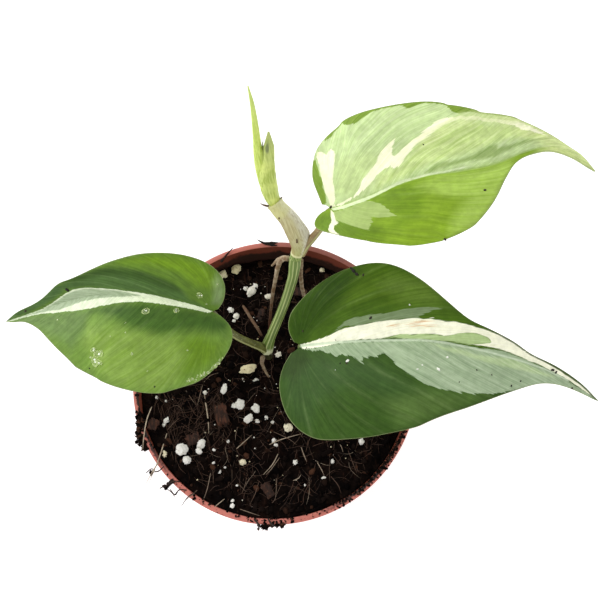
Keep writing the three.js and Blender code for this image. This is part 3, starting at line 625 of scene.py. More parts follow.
# %% Outlines of the coloured patches
PATCHES = {
    "leaf_left": {
        "cream": [(0, -0.2), (4.5, -0.8), (11.5, -1), (18, -1.6), (24.5, -2), (31.5, -2.2),
            (38.5, -2.6), (43.5, -3.4), (47, -3.6), (51, -3), (55, -1.8), (59, -0.8), (64, 0),
            (71, 0.25), (77.5, 0.2), (81, 0.1), (77.5, 0.6), (71, 1), (66.5, 1.4), (62, 1.8), (57.5, 3),
            (53, 3.6), (49, 4.2), (44.5, 4.4), (40.5, 4.2), (36.5, 3.6), (31.5, 2.4), (24.5, 1.4),
            (19.5, 1.2), (12.5, 1), (6, 0.8), (1.5, 0.6)],
        "sage": [(24, -0.9), (31.5, -1.8), (38.5, -2.2), (43.5, -3), (47, -3.2), (51, -2.6), (55, -1.4),
            (59, -0.5), (64, 0.2), (71, 0.4), (78, 0.3), (71, 0.8), (65, 1.1), (60, 1.5), (55.5, 2.3),
            (51, 2), (47, 1.5), (42.5, 1.3), (39, 1.1), (33, 0.5), (28.5, -0.1)],
        # outline of painted shade near the midrib of the arched upper half, with a grey painted sheen
        "dark_up": [(3, -1.2), (8.5, -2.4), (11.5, -5.6), (17, -7.6), (24.5, -9.4), (34, -9.8),
            (42, -8), (51.5, -6.6), (59.5, -3.8), (65.5, -1.2), (53, -4), (45, -3.6), (35, -2),
            (24.5, -1.8), (13, -1.2)],
        # outline of the painted shade of a fold across the upper half
        "dark_band": [(11, -4.2), (13.5, -7), (18, -8.4), (24.5, -9.6), (34, -10), (42, -8.4),
            (51.5, -6.8), (46, -5.6), (38, -7.2), (31, -7.4), (22, -6.4), (15, -4.6)],
        "sheen": [(-2, -4), (-1.8, -9), (0.4, -13), (3, -14), (3.4, -11), (1.6, -7), (1, -3.6)],
        "dark_low": [(0, 0), (-7, 1.8), (-6, 6.2), (4.5, 7.4), (15.5, 11.4), (26.5, 10.6), (34, 7.2),
            (42.5, 5.4), (31, 2.6), (21, 1), (7.5, 1)],
        # outline of a yellower green, partly painted light where the arched upper half faces the light
        "olive_up": [(22, -14.8), (13.5, -16.2), (7, -15.6), (0.5, -12.6), (0.5, -8.8), (8, -8.4),
            (13, -11.6), (22, -12.4), (31, -12)],
        "olive_low": [(11.5, 14.2), (2.5, 8.6), (-5.5, 10.2), (-5, 16.2), (2, 22.4), (16, 29.4),
            (24.5, 28.6), (17.5, 21.8)],
        "pale_low": [(44, 10), (37.5, 11.5), (23, 11), (10, 11.5), (5, 16), (6, 26), (16, 31), (30, 30),
            (42, 23.5), (46, 16)],
        "tip_grey": [(80, 0.2), (73.5, 0.2), (62, 1.5), (51.5, 4), (42.5, 5), (45, 11.5), (51, 16.5),
            (59, 11), (66.5, 6), (76, 2.5)],
        "shoulder": [(52, -3.4), (53, -7), (58, -7.4), (63, -5.6), (69, -3), (80, -1), (80, -0.1),
            (70, -0.2), (62, -1.2), (56, -2.2)],
    },
    "leaf_lower": {
        "cream": [(0, 0.4), (4, 0.9), (7.5, 1.5), (11.5, 2.4), (14.5, 3.6), (16.5, 4.3), (20, 4.6),
            (23, 5.2), (28, 6), (32.5, 6.4), (35.5, 6.6), (39.5, 6.8), (41.5, 6.6), (42.5, 7),
            (44, 7.8), (43, 6.6), (45.5, 6.8), (47, 6.6), (49.5, 7.2), (52.5, 7), (55, 6.8),
            (57.5, 6.6), (60.5, 6.4), (63, 6.2), (65, 6), (68, 5.2), (71, 4.4), (75, 3.2), (79, 2.4),
            (83, 1.8), (86, 1.6), (89.5, 1.2), (93.5, 1), (98, 0.8), (104.5, 0.2), (100.5, 0), (96, 0),
            (91.5, 0.2), (87, 0.4), (83, 0.4), (80, 0.8), (76, 0.8), (72.5, 1.2), (69, 1.6),
            (65.5, 1.8), (61.5, 1.6), (58, 1.2), (55.5, 1), (58.5, 1.8), (62, 3), (61, 4.2), (59, 4.6),
            (56.5, 4.8), (54, 4.4), (50.5, 3.2), (47.5, 2), (45, 2.2), (41.5, 2), (37.5, 1.6),
            (34, 1.8), (31.5, 1.2), (29, 0.6), (26, 0.4), (21, 0.4), (16, 0), (11, -1), (5.5, -1.4),
            (1, -1.2)],
        "mid": [(0, -0.5), (12, -0.7), (26, -0.5), (44, -0.45), (60, -0.4), (75, -0.3), (92, -0.2),
            (92, 0.2), (75, 0.25), (60, 0.3), (44, 0.3), (26, 0.3), (12, 0.2), (0, 0.4)],
        "lime": [(29, 0.8), (31.5, 1.2), (34, 1.8), (37.5, 1.6), (41.5, 2), (45, 2.2), (47.5, 2),
            (50.5, 3.2), (54, 4.4), (56.5, 4.8), (59, 4.6), (61, 4.2), (62, 3), (58.5, 1.8), (55.5, 1),
            (52.5, 0.8), (48.5, 0.6), (44.5, 0.2), (40, 0.2), (35.5, 0.4), (32.5, 0.6)],
        "sage_up": [(11.5, 2.8), (14.5, 4.8), (17, 6.6), (20, 7.6), (23.5, 8), (26.5, 8.4), (28.5, 8.2),
            (32.5, 9), (35.5, 9.8), (39.5, 10.2), (42.5, 10.6), (44, 10.6), (45.5, 10.4), (44, 10),
            (42.5, 9), (41, 8.2), (39.5, 7.6), (40, 7), (35.5, 6.6), (32.5, 6.4), (28, 6), (23, 5.4),
            (20, 5), (16.5, 5)],
        "sage_low": [(1, -1.2), (5.5, -1.4), (11, -1), (16, -0.6), (27.5, -0.4), (34, 0), (43, -0.4),
            (49.5, -0.2), (56, 0.2), (65.5, 1.4), (72.5, 1.2), (80, 0.4), (88, 0.4), (93, -0.4),
            (99, 0), (104.5, 0), (101.5, -0.8), (96, -1.6), (90.5, -2.6), (84.5, -4.2), (79, -6.6),
            (73.5, -9.4), (68.5, -11.8), (63.5, -13.6), (60.5, -14.2), (57, -14.8), (54, -15.2),
            (51, -15.2), (47.5, -15.2), (45.5, -14.8), (42, -14.4), (39.5, -13.2), (38.5, -12.2),
            (35.5, -10.6), (33.5, -9.2), (31.5, -6.8), (30, -5.4), (29, -4.6), (27, -5.2), (27, -5.8),
            (25.5, -5.4), (24.5, -5.2), (24, -6.2), (23, -6), (22.5, -5.4), (22.5, -6.8), (23, -8.4),
            (21.5, -7.4), (20, -6.2), (19, -5.4), (17, -4.8), (15.5, -4.4), (14, -5), (12.5, -4.8),
            (10.5, -3.4), (7.5, -2.6), (4, -2)],
        "lime_low": [(43, -0.8), (48, -1.6), (52.5, -1.2), (57.5, -1.8), (62.5, -1.6), (69.5, 0),
            (74.5, -0.6), (80, -1.2), (86, -1.2), (82, -2.2), (75, -3), (68, -3.6), (61, -3.8),
            (56, -3.2), (51.5, -3), (46.5, -2.2)],
        "scratch": [(33.5, 5.1), (37, 5.5), (40.5, 6.1), (44.5, 6.2), (41, 5.7), (37.5, 5.2)],
        "scratch_2": [(36.5, 4.3), (39, 4.8), (42.6, 4.8), (46, 5.2), (42, 4.4), (39, 4.4)],
        "scratch_3": [(30, 4.6), (32, 4.9), (34, 4.7), (31.6, 4.4)],
        "dark_rim": [(49, 10.6), (60, 6.7), (69, 4.6), (76, 2.45), (85.7, 1.7), (96, 0.8), (105, -0.3),
            (106, 0.6), (96, 2), (86, 3), (76, 3.8), (69, 6), (60, 8), (50, 11.6)],
        # outline of painted shade on the side of the lobe turned from the light
        "dark_lobe": [(-3, 1), (-4, 8), (0, 14), (6, 18), (12, 22.5), (22, 24), (19.5, 18.5), (16, 12),
            (11, 7), (5, 4), (2, 1)],
        "dark_joint": [(-7, -10), (-6.5, -2.5), (0, -0.5), (4.5, -5.5), (-1, -12)],
        "low_sheen": [(29.5, -20), (40.5, -16.5), (54, -15.5), (62, -14.5), (49, -23), (34, -27.5)],
        "olive": [(-2, 9), (6, 15.2), (17.5, 21), (29.5, 22.4), (39.5, 17.2), (44.5, 13), (34, 11.6),
            (25, 12.8), (14, 10.4), (5, 6.4)],
        "light_up": [(27.5, 18), (32, 21.5), (41, 19.5), (45.5, 13.5), (42.5, 11), (34.5, 12.5)],
        # outline of a painted grey sheen on the lower half
        "grey_low": [(-5.5, -9.6), (0.5, -5), (15, -6.4), (28, -8.4), (40.5, -15.6), (54.5, -16.8),
            (34, -19.4), (18.5, -14.6), (8, -18.8), (3.5, -28), (-3, -22.8)],
    },
    "leaf_upper": {
        "mid": [(0.5, -0.4), (5, -0.4), (10, 0), (15, 0), (20, 0.4), (23, 0.8), (27.5, 0.4),
            (33.5, 0.4), (39.5, 1), (44, 1), (39.5, 0.4), (35, 0), (29, -0.2), (24.5, 0), (21, -0.2),
            (18, -0.8), (13, -1.2), (8.5, -1.4), (5, -1.8), (1.5, -1.6)],
        "sage_low": [(1.5, -2), (5, -2), (8.5, -1.6), (11.5, -1.2), (13.5, -2.2), (15, -3.6),
            (16.5, -5.2), (16.5, -6), (17.5, -7.2), (17.5, -8.2), (19, -9.6), (17, -9.2), (14, -8.2),
            (12.5, -7.4), (11.5, -7), (12, -8), (12.5, -9.2), (11.5, -9), (11, -10.8), (9.5, -9.8),
            (7, -8.2), (4, -6.2), (2, -5), (1.5, -3.4)],
        "cream_low": [(0.5, -1), (1.5, -2.4), (2, -5), (3, -6.2), (1.5, -6.8), (1, -8), (2, -9.2),
            (3, -10), (0.5, -9.2), (-1, -7.8), (-0.5, -6.6), (0.5, -5.2), (0.5, -3.2)],
        "green_left": [(-1, 15.2), (-0.5, 12.4), (-0.5, 10), (0.5, 8.2), (-0.5, 6.6), (0, 4.2),
            (-0.5, 1.6), (-2, 1), (-3.5, 2.4), (-4.5, 8.2), (-4, 12.2), (-2, 15.6)],
        "cream": [(0.5, 0), (0.5, 2.4), (0, 4.6), (0, 6.8), (0, 8.6), (0, 10.2), (0, 13.4), (-0.5, 16),
            (0, 17.4), (1.5, 17), (2.5, 15.8), (3.5, 16.8), (4, 17.6), (5, 16.4), (5.5, 15.6),
            (5, 14.2), (4, 10.6), (3, 7.8), (3, 4.8), (2.5, 1.8), (1.5, 0)],
        "cream_arm": [(1.5, 0), (5.5, 0.8), (8.5, 1.6), (11.5, 3.4), (13, 5.2), (14, 5.4), (16, 6.6),
            (18.5, 8.4), (20.5, 10.6), (23, 12), (25, 13), (26, 13.8), (25.5, 12.4), (24, 11),
            (23.5, 9.2), (23.5, 8), (25.5, 8.6), (27, 9.6), (29, 10.8), (31, 12), (33, 13.6),
            (35, 15.4), (38, 16.2), (44, 16), (49.5, 15.2), (56.5, 13.2), (60.5, 11), (64.5, 8.8),
            (68, 6), (71.5, 3.2), (68, 4.8), (64, 6.6), (61.5, 9.2), (57.5, 11.6), (51, 13.6),
            (45, 14.8), (42, 14.8), (37.5, 14.2), (35, 12.8), (33, 11.2), (31, 10.2), (29, 8.8),
            (27, 7.2), (25.5, 5.8), (24, 4.8), (22.5, 4.6), (22, 5.8), (21.5, 5.4), (20, 5.8),
            (19, 5.4), (17.5, 4.8), (16, 3.8), (14, 3), (12, 2.2), (10, 1.4), (7, 0.6), (4, -0.2)],
        "green_rim": [(12.5, 23.6), (15, 24.4), (17.5, 25.2), (20, 25.2), (23, 24.6), (23, 23.6),
            (20.5, 23.2), (19, 22.8), (17.5, 22.2), (17, 21.8), (16, 22.4), (14.5, 22.4)],
        "green_rim_2": [(29, 23.2), (30.5, 22.8), (32.5, 22), (32, 21.4), (31.5, 21.2), (30, 20.8),
            (29.5, 21.6), (29, 22.4)],
        "green_rim_3": [(39.5, 21.2), (43, 20), (48.5, 18.2), (56.5, 16.2), (61.5, 12.4), (59.5, 12.6),
            (56, 15.2), (51.5, 15.8), (49, 16.6), (46, 17), (43.5, 16.8), (41.5, 17.8), (41, 19),
            (39, 20.2)],
        "green_rim_4": [(2.5, 20.4), (4, 22.6), (7, 23), (5.5, 21.8), (4.5, 20.8)],
        "green_rim_5": [(3, 21.4), (6, 22.3), (10, 23.6), (18, 24.2), (28, 22.7), (40, 20),
            (50.7, 16.7), (59, 13.4), (64, 9.8), (65, 11), (60, 15), (51, 18.5), (40, 22), (28, 24.7),
            (18, 26), (9, 25.4), (3, 23)],
        "sage_up": [(30.5, 0.8), (32, 1.8), (35, 3), (38.5, 3.2), (42.5, 3.4), (47.5, 4.6), (51.5, 5.6),
            (54.5, 5.2), (54, 4.2), (58.5, 3.4), (64, 3.2), (71.5, 2.6), (65.5, 2.4), (60, 2.4),
            (55.5, 2.4), (52, 1.8), (49.5, 2.2), (45.5, 2.4), (41, 2.2), (36.5, 1.6), (33.5, 0.8)],
        "lime_up": [(26, 6), (31, 9.6), (36, 13.8), (47, 14.2), (58.5, 10.4), (66.5, 5.4), (72, 2.8),
            (66, 3.4), (56, 6), (48, 5.6), (38, 4.2), (31, 2.8), (25, 1.4), (20, 1.4), (15.5, 1),
            (18.5, 4.4), (23, 4.8)],
        "tip": [(60, 12), (64, 5), (70, 0), (64, -4), (76, -4), (95, -3), (95, 3), (78, 4), (68, 9)],
        "dark_lobe": [(-3, -0.5), (-6, -3), (-5.6, -6.2), (-1, -8.8), (5, -11.6), (13, -15), (14, -11),
            (8, -7), (3, -4), (0, -2)],
        "dark_low": [(13.5, -2.2), (20, -0.8), (27, -1.4), (30, -4), (25.5, -11.8), (13, -13.2),
            (20, -10.4), (19, -9.2), (16.5, -5.4)],
        # outline of a painted highlight near the margin
        "light_low": [(27, -3), (35, -1), (47, -0.5), (57, -0.5), (54, -6), (48, -14), (41, -19),
            (35, -19.5), (37, -14.5), (41, -9), (34, -7)],
        "mint_joint": [(2, 4), (6, 13), (17.5, 12.5), (24, 5.5), (18.5, 1), (7.5, 1)],
        "arm_haze": [(30, 9), (36, 14), (44.5, 17), (55, 16.5), (62, 12), (68, 7), (60, 10), (51.5, 13),
            (40, 13), (33, 8.5)],
    },
}
JOINED = {"cream": ["cream", "cream_arm", "cream_low"],
          "scratch": ["scratch", "scratch_2", "scratch_3"],
          "green_rim": ["green_rim", "green_rim_2", "green_rim_3", "green_rim_4", "green_rim_5",
                        "green_left"]}


def inside_by(outline, x, y):
    """How far in mm each point lies inside an outline; negative outside it."""
    corner = np.array(outline, float)
    span = np.roll(corner, -1, 0) - corner
    away = np.stack([x, y], -1)[:, None] - corner
    share = np.clip((away * span).sum(-1) / (span**2).sum(-1), 0, 1)
    near = np.linalg.norm(away - share[..., None] * span, axis=-1).min(1)
    rise = np.where(span[:, 1] == 0, 1e-9, span[:, 1])
    beside = (away[..., 1] < 0) != (away[..., 1] < span[:, 1])
    crossed = beside & (away[..., 0] < away[..., 1] * span[:, 0] / rise)
    return np.where(crossed.sum(1) % 2 == 1, near, -near)


print("patches:", sum(len(group) for group in PATCHES.values()))

# %% [markdown]
# The blade starts as a flat grid. Its middle column is the midrib, its outer columns are the margins, and
# a row bends from one to the other as a vein does. The upper sheet gets the midrib's groove and the swell
# between veins. A copy under it and an extruded wall at the rim make it a solid of less than a millimetre,
# which a Solidify modifier would also do, though evenly, without the thick midrib.

# %% Lay out a blade
FAN = 0.45  # share of the veins that leave the joint itself
ROWS = 200  # veins in a blade
SIDE = 42  # faces from midrib to margin


def lay_out_blade(leaf):
    """A thin closed blade: an upper sheet laid along the veins, a copy under it, and a wall at the rim."""
    bm = bmesh.new()
    bm.loops.layers.uv.new("veins")
    names = ("along", "out", "rim", "vein", "calm")
    for name in names:
        bm.verts.layers.float.new(name)
    number = bm.verts.layers.int.new("number")
    bmesh.ops.create_grid(bm, x_segments=2 * SIDE, y_segments=ROWS, size=0.5, calc_uvs=True)
    sheet = bm.verts[:]
    r = -2 * np.array([vert.co.x for vert in sheet])
    w = np.array([vert.co.y for vert in sheet]) + 0.5
    reach = np.abs(r) ** 1.5
    marks = np.linspace(0, 1, MARKS)
    first, second = (np.stack([np.interp(w, marks, margin[:, k]) for k in range(2)], -1)
                     for margin in leaf["margins"])
    margin = np.where((r < 0)[:, None], second, first)
    margin[:, 1] = np.maximum(margin[:, 1], 0)
    start = leaf["total"] * (np.maximum(w - FAN, 0) / (1 - FAN)) ** 1.5
    bend = 2 * reach * (1 - reach)
    halfway = start + 0.32 * (margin[:, 0] - start)
    x = (1 - reach) ** 2 * start + bend * halfway + reach**2 * margin[:, 0]
    y = (bend * 0.68 + reach**2) * margin[:, 1] * np.sign(r)
    rim = np.hypot(margin[:, 0] - x, margin[:, 1] - np.abs(y))

    fade = np.maximum(1 - np.maximum(x, 0) / leaf["total"], 0.05) ** 0.7
    calm = np.clip(1 - np.hypot(x, y) / 18, 0, 1)
    swell = np.sin(np.pi * np.clip(reach, 0, 1)) ** 0.7 * fade * (1 - calm)
    phase = w * 11 + np.where(r < 0, 0.37, 0)
    vein = np.exp(-(((phase - np.round(phase)) / 0.06) ** 2)) * np.clip(reach * 6, 0, 1) * (1 - calm)
    groove = -0.16 * fade * np.exp(-((y / 0.7) ** 2))
    shoulders = 0.08 * fade * np.exp(-(((np.abs(y) - 1.7) / 0.9) ** 2))
    dents = 0.14 * np.array([noise.noise((a / 9, b / 5, leaf["total"])) for a, b in zip(x, y)])
    relief = groove + shoulders + swell * (0.06 * np.cos(2 * np.pi * phase) - 0.04 * vein + dents)

    normal = blade_normal(leaf, x, y)
    middle = blade_place(leaf, x, y)
    top = middle + normal * relief[:, None]
    thick = 0.34 + 0.36 * (1 - reach**8) + 1.0 * fade * np.exp(-((y / 1.35) ** 2))
    echo = 0.5 * relief * (np.abs(y) > 2.5)
    under = middle + normal * (echo - thick)[:, None]

    for k, vert in enumerate(sheet):
        vert[number] = k
    copied = bmesh.ops.duplicate(bm, geom=bm.verts[:] + bm.edges[:] + bm.faces[:])["geom"]
    lower = [g for g in copied if isinstance(g, bmesh.types.BMVert)]
    for face in (g for g in copied if isinstance(g, bmesh.types.BMFace)):
        face.material_index = 1
    on_sheet = set(sheet)
    open_edges = [edge for edge in bm.edges if edge.is_boundary and on_sheet.issuperset(edge.verts)]
    wall = bmesh.ops.extrude_edge_only(bm, edges=open_edges)["geom"]
    foot = [g for g in wall if isinstance(g, bmesh.types.BMVert)]
    keys = [bm.verts.layers.float[name] for name in names]
    for group, places in ((sheet, top), (lower, under), (foot, under)):
        for vert in group:
            k = vert[number]
            vert.co = places[k] * MM
            for key, values in zip(keys, (x, y, rim, vein, calm)):
                vert[key] = values[k]
    bmesh.ops.remove_doubles(bm, verts=bm.verts, dist=2e-6)
    bmesh.ops.recalc_face_normals(bm, faces=bm.faces)
    return bm


def store_patches(piece, outlines):
    """Write how far every corner lies inside each outline, joining outlines of one colour."""
    mesh = piece.data
    x, y = (np.zeros(len(mesh.vertices), np.float32) for _ in range(2))
    mesh.attributes["along"].data.foreach_get("value", x)
    mesh.attributes["out"].data.foreach_get("value", y)
    depth = {name: inside_by(outline, x, y) for name, outline in outlines.items()}
    for name, parts in JOINED.items():
        present = [depth[part] for part in parts if part in depth]
        if len(present) > 1:
            depth[name] = np.max(present, axis=0)
            for part in parts:
                if part != name:
                    depth.pop(part, None)
    for name, values in depth.items():
        layer = mesh.attributes.new(name, "FLOAT", "POINT")
        layer.data.foreach_set("value", values.astype(np.float32))
    return sorted(depth)


print("corners in one sheet:", (2 * SIDE + 1) * (ROWS + 1))

# %% [markdown]
# ## Leaf finishes
# A leaf shows a ground of two greens, broad soft clouds of darker or yellower green, then the crisp pale
# patches, and over it all fine streaks that run with the veins. The clouds are partly the leaf's own
# mottle and partly painted shade, light and sheen where the blade bends. The finish below takes the
# patches as a list and lays them one over the other, as a painter would. The underside uses the same list,
# duller and greyer, because its skin is matt and the patches show through from above.

# %% Paint a leaf
def leaf_paint(name, ground, clouds, patches, under=False, gloss=0.2):
    finish = Finish(name, roughness=0.42, gloss=gloss)
    long_streak = finish.noise(finish.veins(4, 105), 1.0, 3, 0.55)
    fine_streak = finish.noise(finish.veins(9, 360), 1.0, 2, 0.5)
    tooth = finish.noise(finish.veins(11, 130), 1.0, 4, 0.65)
    blotch = finish.noise(finish.veins(8, 26), 1.0, 5, 0.7)
    cloud = finish.noise(finish.place(), 70, 3)
    cells = finish.noise(finish.place(), 1800, 2)
    streak = finish.step(finish.sum(long_streak, finish.times(fine_streak, 0.6)), 0.46, 1.14)
    quiet = finish.times(finish.stored("calm"), 0.8)
    streak = finish.node("Mix", {0: quiet, 2: streak, 3: 0.5}).outputs[0]
    pores = finish.noise(finish.place(), 480, 3, 0.6)
    ragged = finish.times(finish.sum(tooth, -0.5), 3.0)
    half = finish.step(finish.stored("out"), -0.7, 0.7)

    def streaked(dark, light):
        return finish.mix(streak, tint(*dark), tint(*light))

    def lay(shade, patch, dark, light, soft, jag, strength):
        edge = finish.sum(finish.stored(patch), finish.times(ragged, jag))
        mask = finish.times(finish.step(edge, -soft, soft), strength)
        return finish.mix(mask, shade, streaked(dark, light))

    shade = finish.mix(half, streaked(*ground[1]), streaked(*ground[0]))
    for patch in clouds:
        shade = lay(shade, *patch)
    shade = finish.weigh(shade, finish.step(blotch, 0.34, 0.68, 0.87, 1.12))
    vein = finish.times(finish.stored("vein"), finish.step(blotch, 0.35, 0.7, 0, 0.09))
    shade = finish.mix(vein, shade, tint(196, 214, 150))
    for patch in patches:
        shade = lay(shade, *patch)
    shade = finish.weigh(shade, finish.step(pores, 0.32, 0.68, 0.93, 1.07))
    shade = finish.weigh(shade, finish.step(cloud, 0.3, 0.75, 1.04, 0.95))
    line = finish.step(finish.stored("rim"), 0.14, 0.4, 0.6, 0)
    shade = finish.mix(line, shade, tint(148, 160, 108))
    if under:
        shade = finish.mix(0.42, shade, tint(158, 178, 128))
    finish.bump(fine_streak, 0.04, 0.5)
    finish.bump(blotch, 0.1, 0.35)
    finish.bump(cells, 0.02, 0.5)
    dullness = (0.62, 0.75) if under else (0.42, 0.54)
    return finish.paint(shade, finish.step(cloud, 0.3, 0.7, *dullness))


print("leaf cream for a shader:", [round(part, 3) for part in tint(236, 232, 196)])

# %% [markdown]
# Each leaf's colours are two grounds, one for either half, then its clouds and its crisp patches. A line
# names the patch, its darker and its lighter streak colour, how soft its edge is in mm, how ragged, and
# how strong.

# %% Colours of the three leaves
LEAF_PAINT = {
    "leaf_left": (
        (((96, 130, 42), (122, 154, 66)), ((79, 111, 26), (100, 132, 42))),
        # partly painted light: the outer part of the arched upper half, which faces the light
        [("olive_up", (98, 134, 14), (118, 152, 30), 1.8, 0.3, 0.95),
         # painted shade near the midrib of the arched upper half, with a grey painted sheen
         ("dark_up", (58, 88, 30), (80, 112, 56), 1.4, 0.3, 0.94),
         # painted shade of a fold across the upper half
         ("dark_band", (40, 68, 8), (56, 86, 22), 1.2, 0.4, 0.9),
         ("olive_low", (90, 126, 12), (110, 143, 28), 3.2, 0.4, 0.9),
         ("pale_low", (120, 151, 52), (143, 172, 84), 3.5, 0.4, 0.85),
         ("tip_grey", (88, 116, 52), (112, 140, 78), 2.4, 0.5, 0.85),
         ("shoulder", (52, 84, 32), (78, 110, 58), 1.2, 0.5, 0.85),
         ("dark_low", (44, 76, 14), (72, 106, 38), 2.6, 0.5, 0.94),
         ("sheen", (120, 142, 92), (150, 170, 124), 1.6, 0.4, 0.6)],
        [("cream", (208, 222, 184), (242, 248, 222), 0.12, 0.35, 1),
         ("sage", (138, 158, 120), (178, 194, 160), 0.3, 0.45, 0.95)]),
    "leaf_lower": (
        (((61, 91, 17), (77, 105, 28)), ((46, 74, 18), (60, 88, 32))),
        [("olive", (60, 89, 6), (84, 112, 22), 3.0, 0.5, 0.85),
         ("light_up", (84, 111, 32), (106, 133, 54), 3.0, 0.5, 0.85),
         # painted shade on the side of the lower leaf's upper lobe turned from the light
         ("dark_lobe", (26, 52, 2), (46, 73, 8), 3.4, 0.5, 0.85),
         # painted sheen, grey, on the lower half
         ("grey_low", (51, 78, 33), (62, 89, 42), 3.0, 0.6, 0.8),
         ("low_sheen", (77, 103, 45), (92, 118, 60), 3.5, 0.6, 0.8),
         ("dark_joint", (40, 60, 18), (54, 74, 32), 3.0, 0.5, 0.85)],
        [("sage_low", (132, 153, 118), (174, 191, 158), 0.12, 0.8, 1),
         ("sage_up", (106, 126, 86), (136, 154, 114), 0.12, 0.6, 1),
         ("lime_low", (164, 188, 134), (196, 212, 166), 0.6, 0.6, 0.75),
         ("cream", (240, 240, 208), (255, 254, 234), 0.12, 0.4, 1),
         ("lime", (158, 184, 118), (188, 208, 152), 0.2, 0.5, 1),
         ("scratch", (206, 138, 76), (226, 180, 124), 0.25, 1.0, 0.75),
         ("mid", (186, 202, 172), (210, 222, 196), 0.25, 0.15, 0.9),
         ("dark_rim", (52, 66, 34), (84, 100, 58), 0.15, 0.3, 0.9)]),
    "leaf_upper": (
        (((178, 203, 134), (210, 228, 170)), ((116, 148, 24), (136, 167, 44))),
        [("dark_lobe", (88, 120, 14), (110, 142, 28), 2.2, 0.5, 0.9),
         ("dark_low", (96, 130, 12), (118, 150, 28), 2.0, 0.5, 0.85),
         # painted highlight near the margin of the lower half
         ("light_low", (150, 182, 66), (174, 202, 98), 2.4, 0.5, 0.85),
         ("mint_joint", (174, 197, 124), (203, 220, 156), 2.6, 0.6, 0.8),
         ("lime_up", (172, 198, 106), (218, 234, 162), 1.4, 0.9, 0.8),
         ("tip", (188, 208, 124), (230, 237, 172), 3.0, 0.9, 0.8)],
        [("sage_up", (124, 152, 76), (160, 183, 110), 0.6, 0.7, 0.85),
         ("green_rim", (98, 130, 30), (142, 170, 66), 0.15, 0.5, 1),
         ("sage_low", (144, 170, 86), (180, 200, 124), 0.12, 0.5, 1),
         ("cream", (242, 244, 196), (255, 255, 226), 0.15, 0.55, 1),
         ("arm_haze", (190, 208, 128), (220, 232, 168), 1.2, 1.0, 0.6),
         ("mid", (208, 226, 170), (234, 243, 206), 0.2, 0.15, 0.95)]),
}
SHINE = {"leaf_left": 0.2, "leaf_lower": 0.1, "leaf_upper": 0.18}

for name, leaf in LEAVES.items():
    skins = [leaf_paint(name + "_skin", *LEAF_PAINT[name], gloss=SHINE[name]),
             leaf_paint(name + "_underside", *LEAF_PAINT[name], under=True)]
    blade = keep(name + "_blade", lay_out_blade(leaf), skins, [name])
    print("stored:", store_patches(blade, PATCHES[name]))

# %% [markdown]
# ## Leaf stalks
# Leaf stalks are round, smooth and slightly grooved, and each ends inside its blade's joint. Their finish
# is streaked along the limb: olive on the left one, green on the lower one and rosy on the upper one. One
# function paints all three, since only the colours and the direction of the streaks differ.

# %% Stalks
STALKS = {
    "left": ([(-1.6, 10.1, 84.4), (-3.4, 10.3, 89.5), (-6.4, 10.9, 95.5), (-10.2, 12.4, 102),
              (-13.5, 15.3, 107.2), (-16.2, 19.4, 109.7), (-21, 21.3, 111.0)],
             [2.0, 1.5, 1.3, 1.25, 1.25, 1.15, 0.6]),
    "lower": ([(18.5, 8.5, 54), (17, 7, 74), (15.8, 5.6, 90), (14.2, 4.4, 101), (12.2, 3.4, 107.6),
               (12.4, 3, 110.5), (17.5, 2.2, 112.7)],
              [1.7, 1.6, 1.45, 1.4, 1.35, 1.25, 0.6]),
    "upper": ([(16.4, 32, 121.2), (18.8, 33.2, 125), (21.8, 34, 130), (24.4, 35, 135),
               (26.2, 36.6, 139.4), (29, 37.2, 141.3), (33, 36.9, 142.4)],
              [1.9, 1.5, 1.25, 1.2, 1.2, 1.05, 0.55]),
}


def stalk_paint(name, direction, dark, light, blush):
    finish = Finish(name, roughness=0.45)
    lengthwise = finish.noise(finish.grain(direction), 1400, 3)
    mottle = finish.noise(finish.place(), 220, 4)
    dots = finish.step(finish.noise(finish.place(), 1500, 1), 0.66, 0.72)
    shade = finish.mix(finish.step(lengthwise, 0.35, 0.65), dark, light)
    shade = finish.coat(shade, mottle, 0.45, 0.7, 0.7, blush)
    shade = finish.mix(finish.times(dots, 0.35), shade, tint(214, 220, 170))
    shade = finish.coat(shade, finish.stored("tone"), 0.2, 0.9, 0.8, tint(184, 186, 128))
    finish.bump(lengthwise, 0.06, 0.6)
    return finish.paint(shade, finish.step(mottle, 0.3, 0.7, 0.39, 0.57))


stalk_skins = {
    "left": stalk_paint("stalk_olive", (-19, 11, 27),
                        tint(72, 73, 24), tint(98, 101, 40), tint(120, 128, 62)),
    "lower": stalk_paint("stalk_green", (-1, -5, 58),
                         tint(92, 108, 52), tint(120, 134, 72), tint(150, 150, 96)),
    "upper": stalk_paint("stalk_rose", (17, 5, 21),
                         tint(126, 106, 70), tint(152, 134, 92), tint(158, 114, 82)),
}


def stalk_groove(angle, travel, t):
    """A groove on the far side and six faint ribs."""
    return -0.07 * math.exp(-(((angle - 1.6) / 0.35) ** 2)) + 0.02 * math.cos(6 * angle)


def pale_edge(angle, travel):
    """The light line along the front of a stalk."""
    return math.exp(-(((angle + 1.5) / 0.3) ** 2))


for side_name, (line, radii) in STALKS.items():
    bm = bmesh.new()
    grow_limb(bm, line, radii, sides=24, steps=56, relief=stalk_groove, tone=pale_edge)
    keep("stalk_" + side_name, bm, [stalk_skins[side_name]], ["leaf_" + side_name])

# %% [markdown]
# ## The stem
# The stem carries nine pale lengthwise ridges, and where a leaf has grown it swells into a ring, the knee.
# The ridges are geometry, made by the limb's relief, and the same wave is stored as its tone. So the pale
# stripes of the finish lie on the ridges.

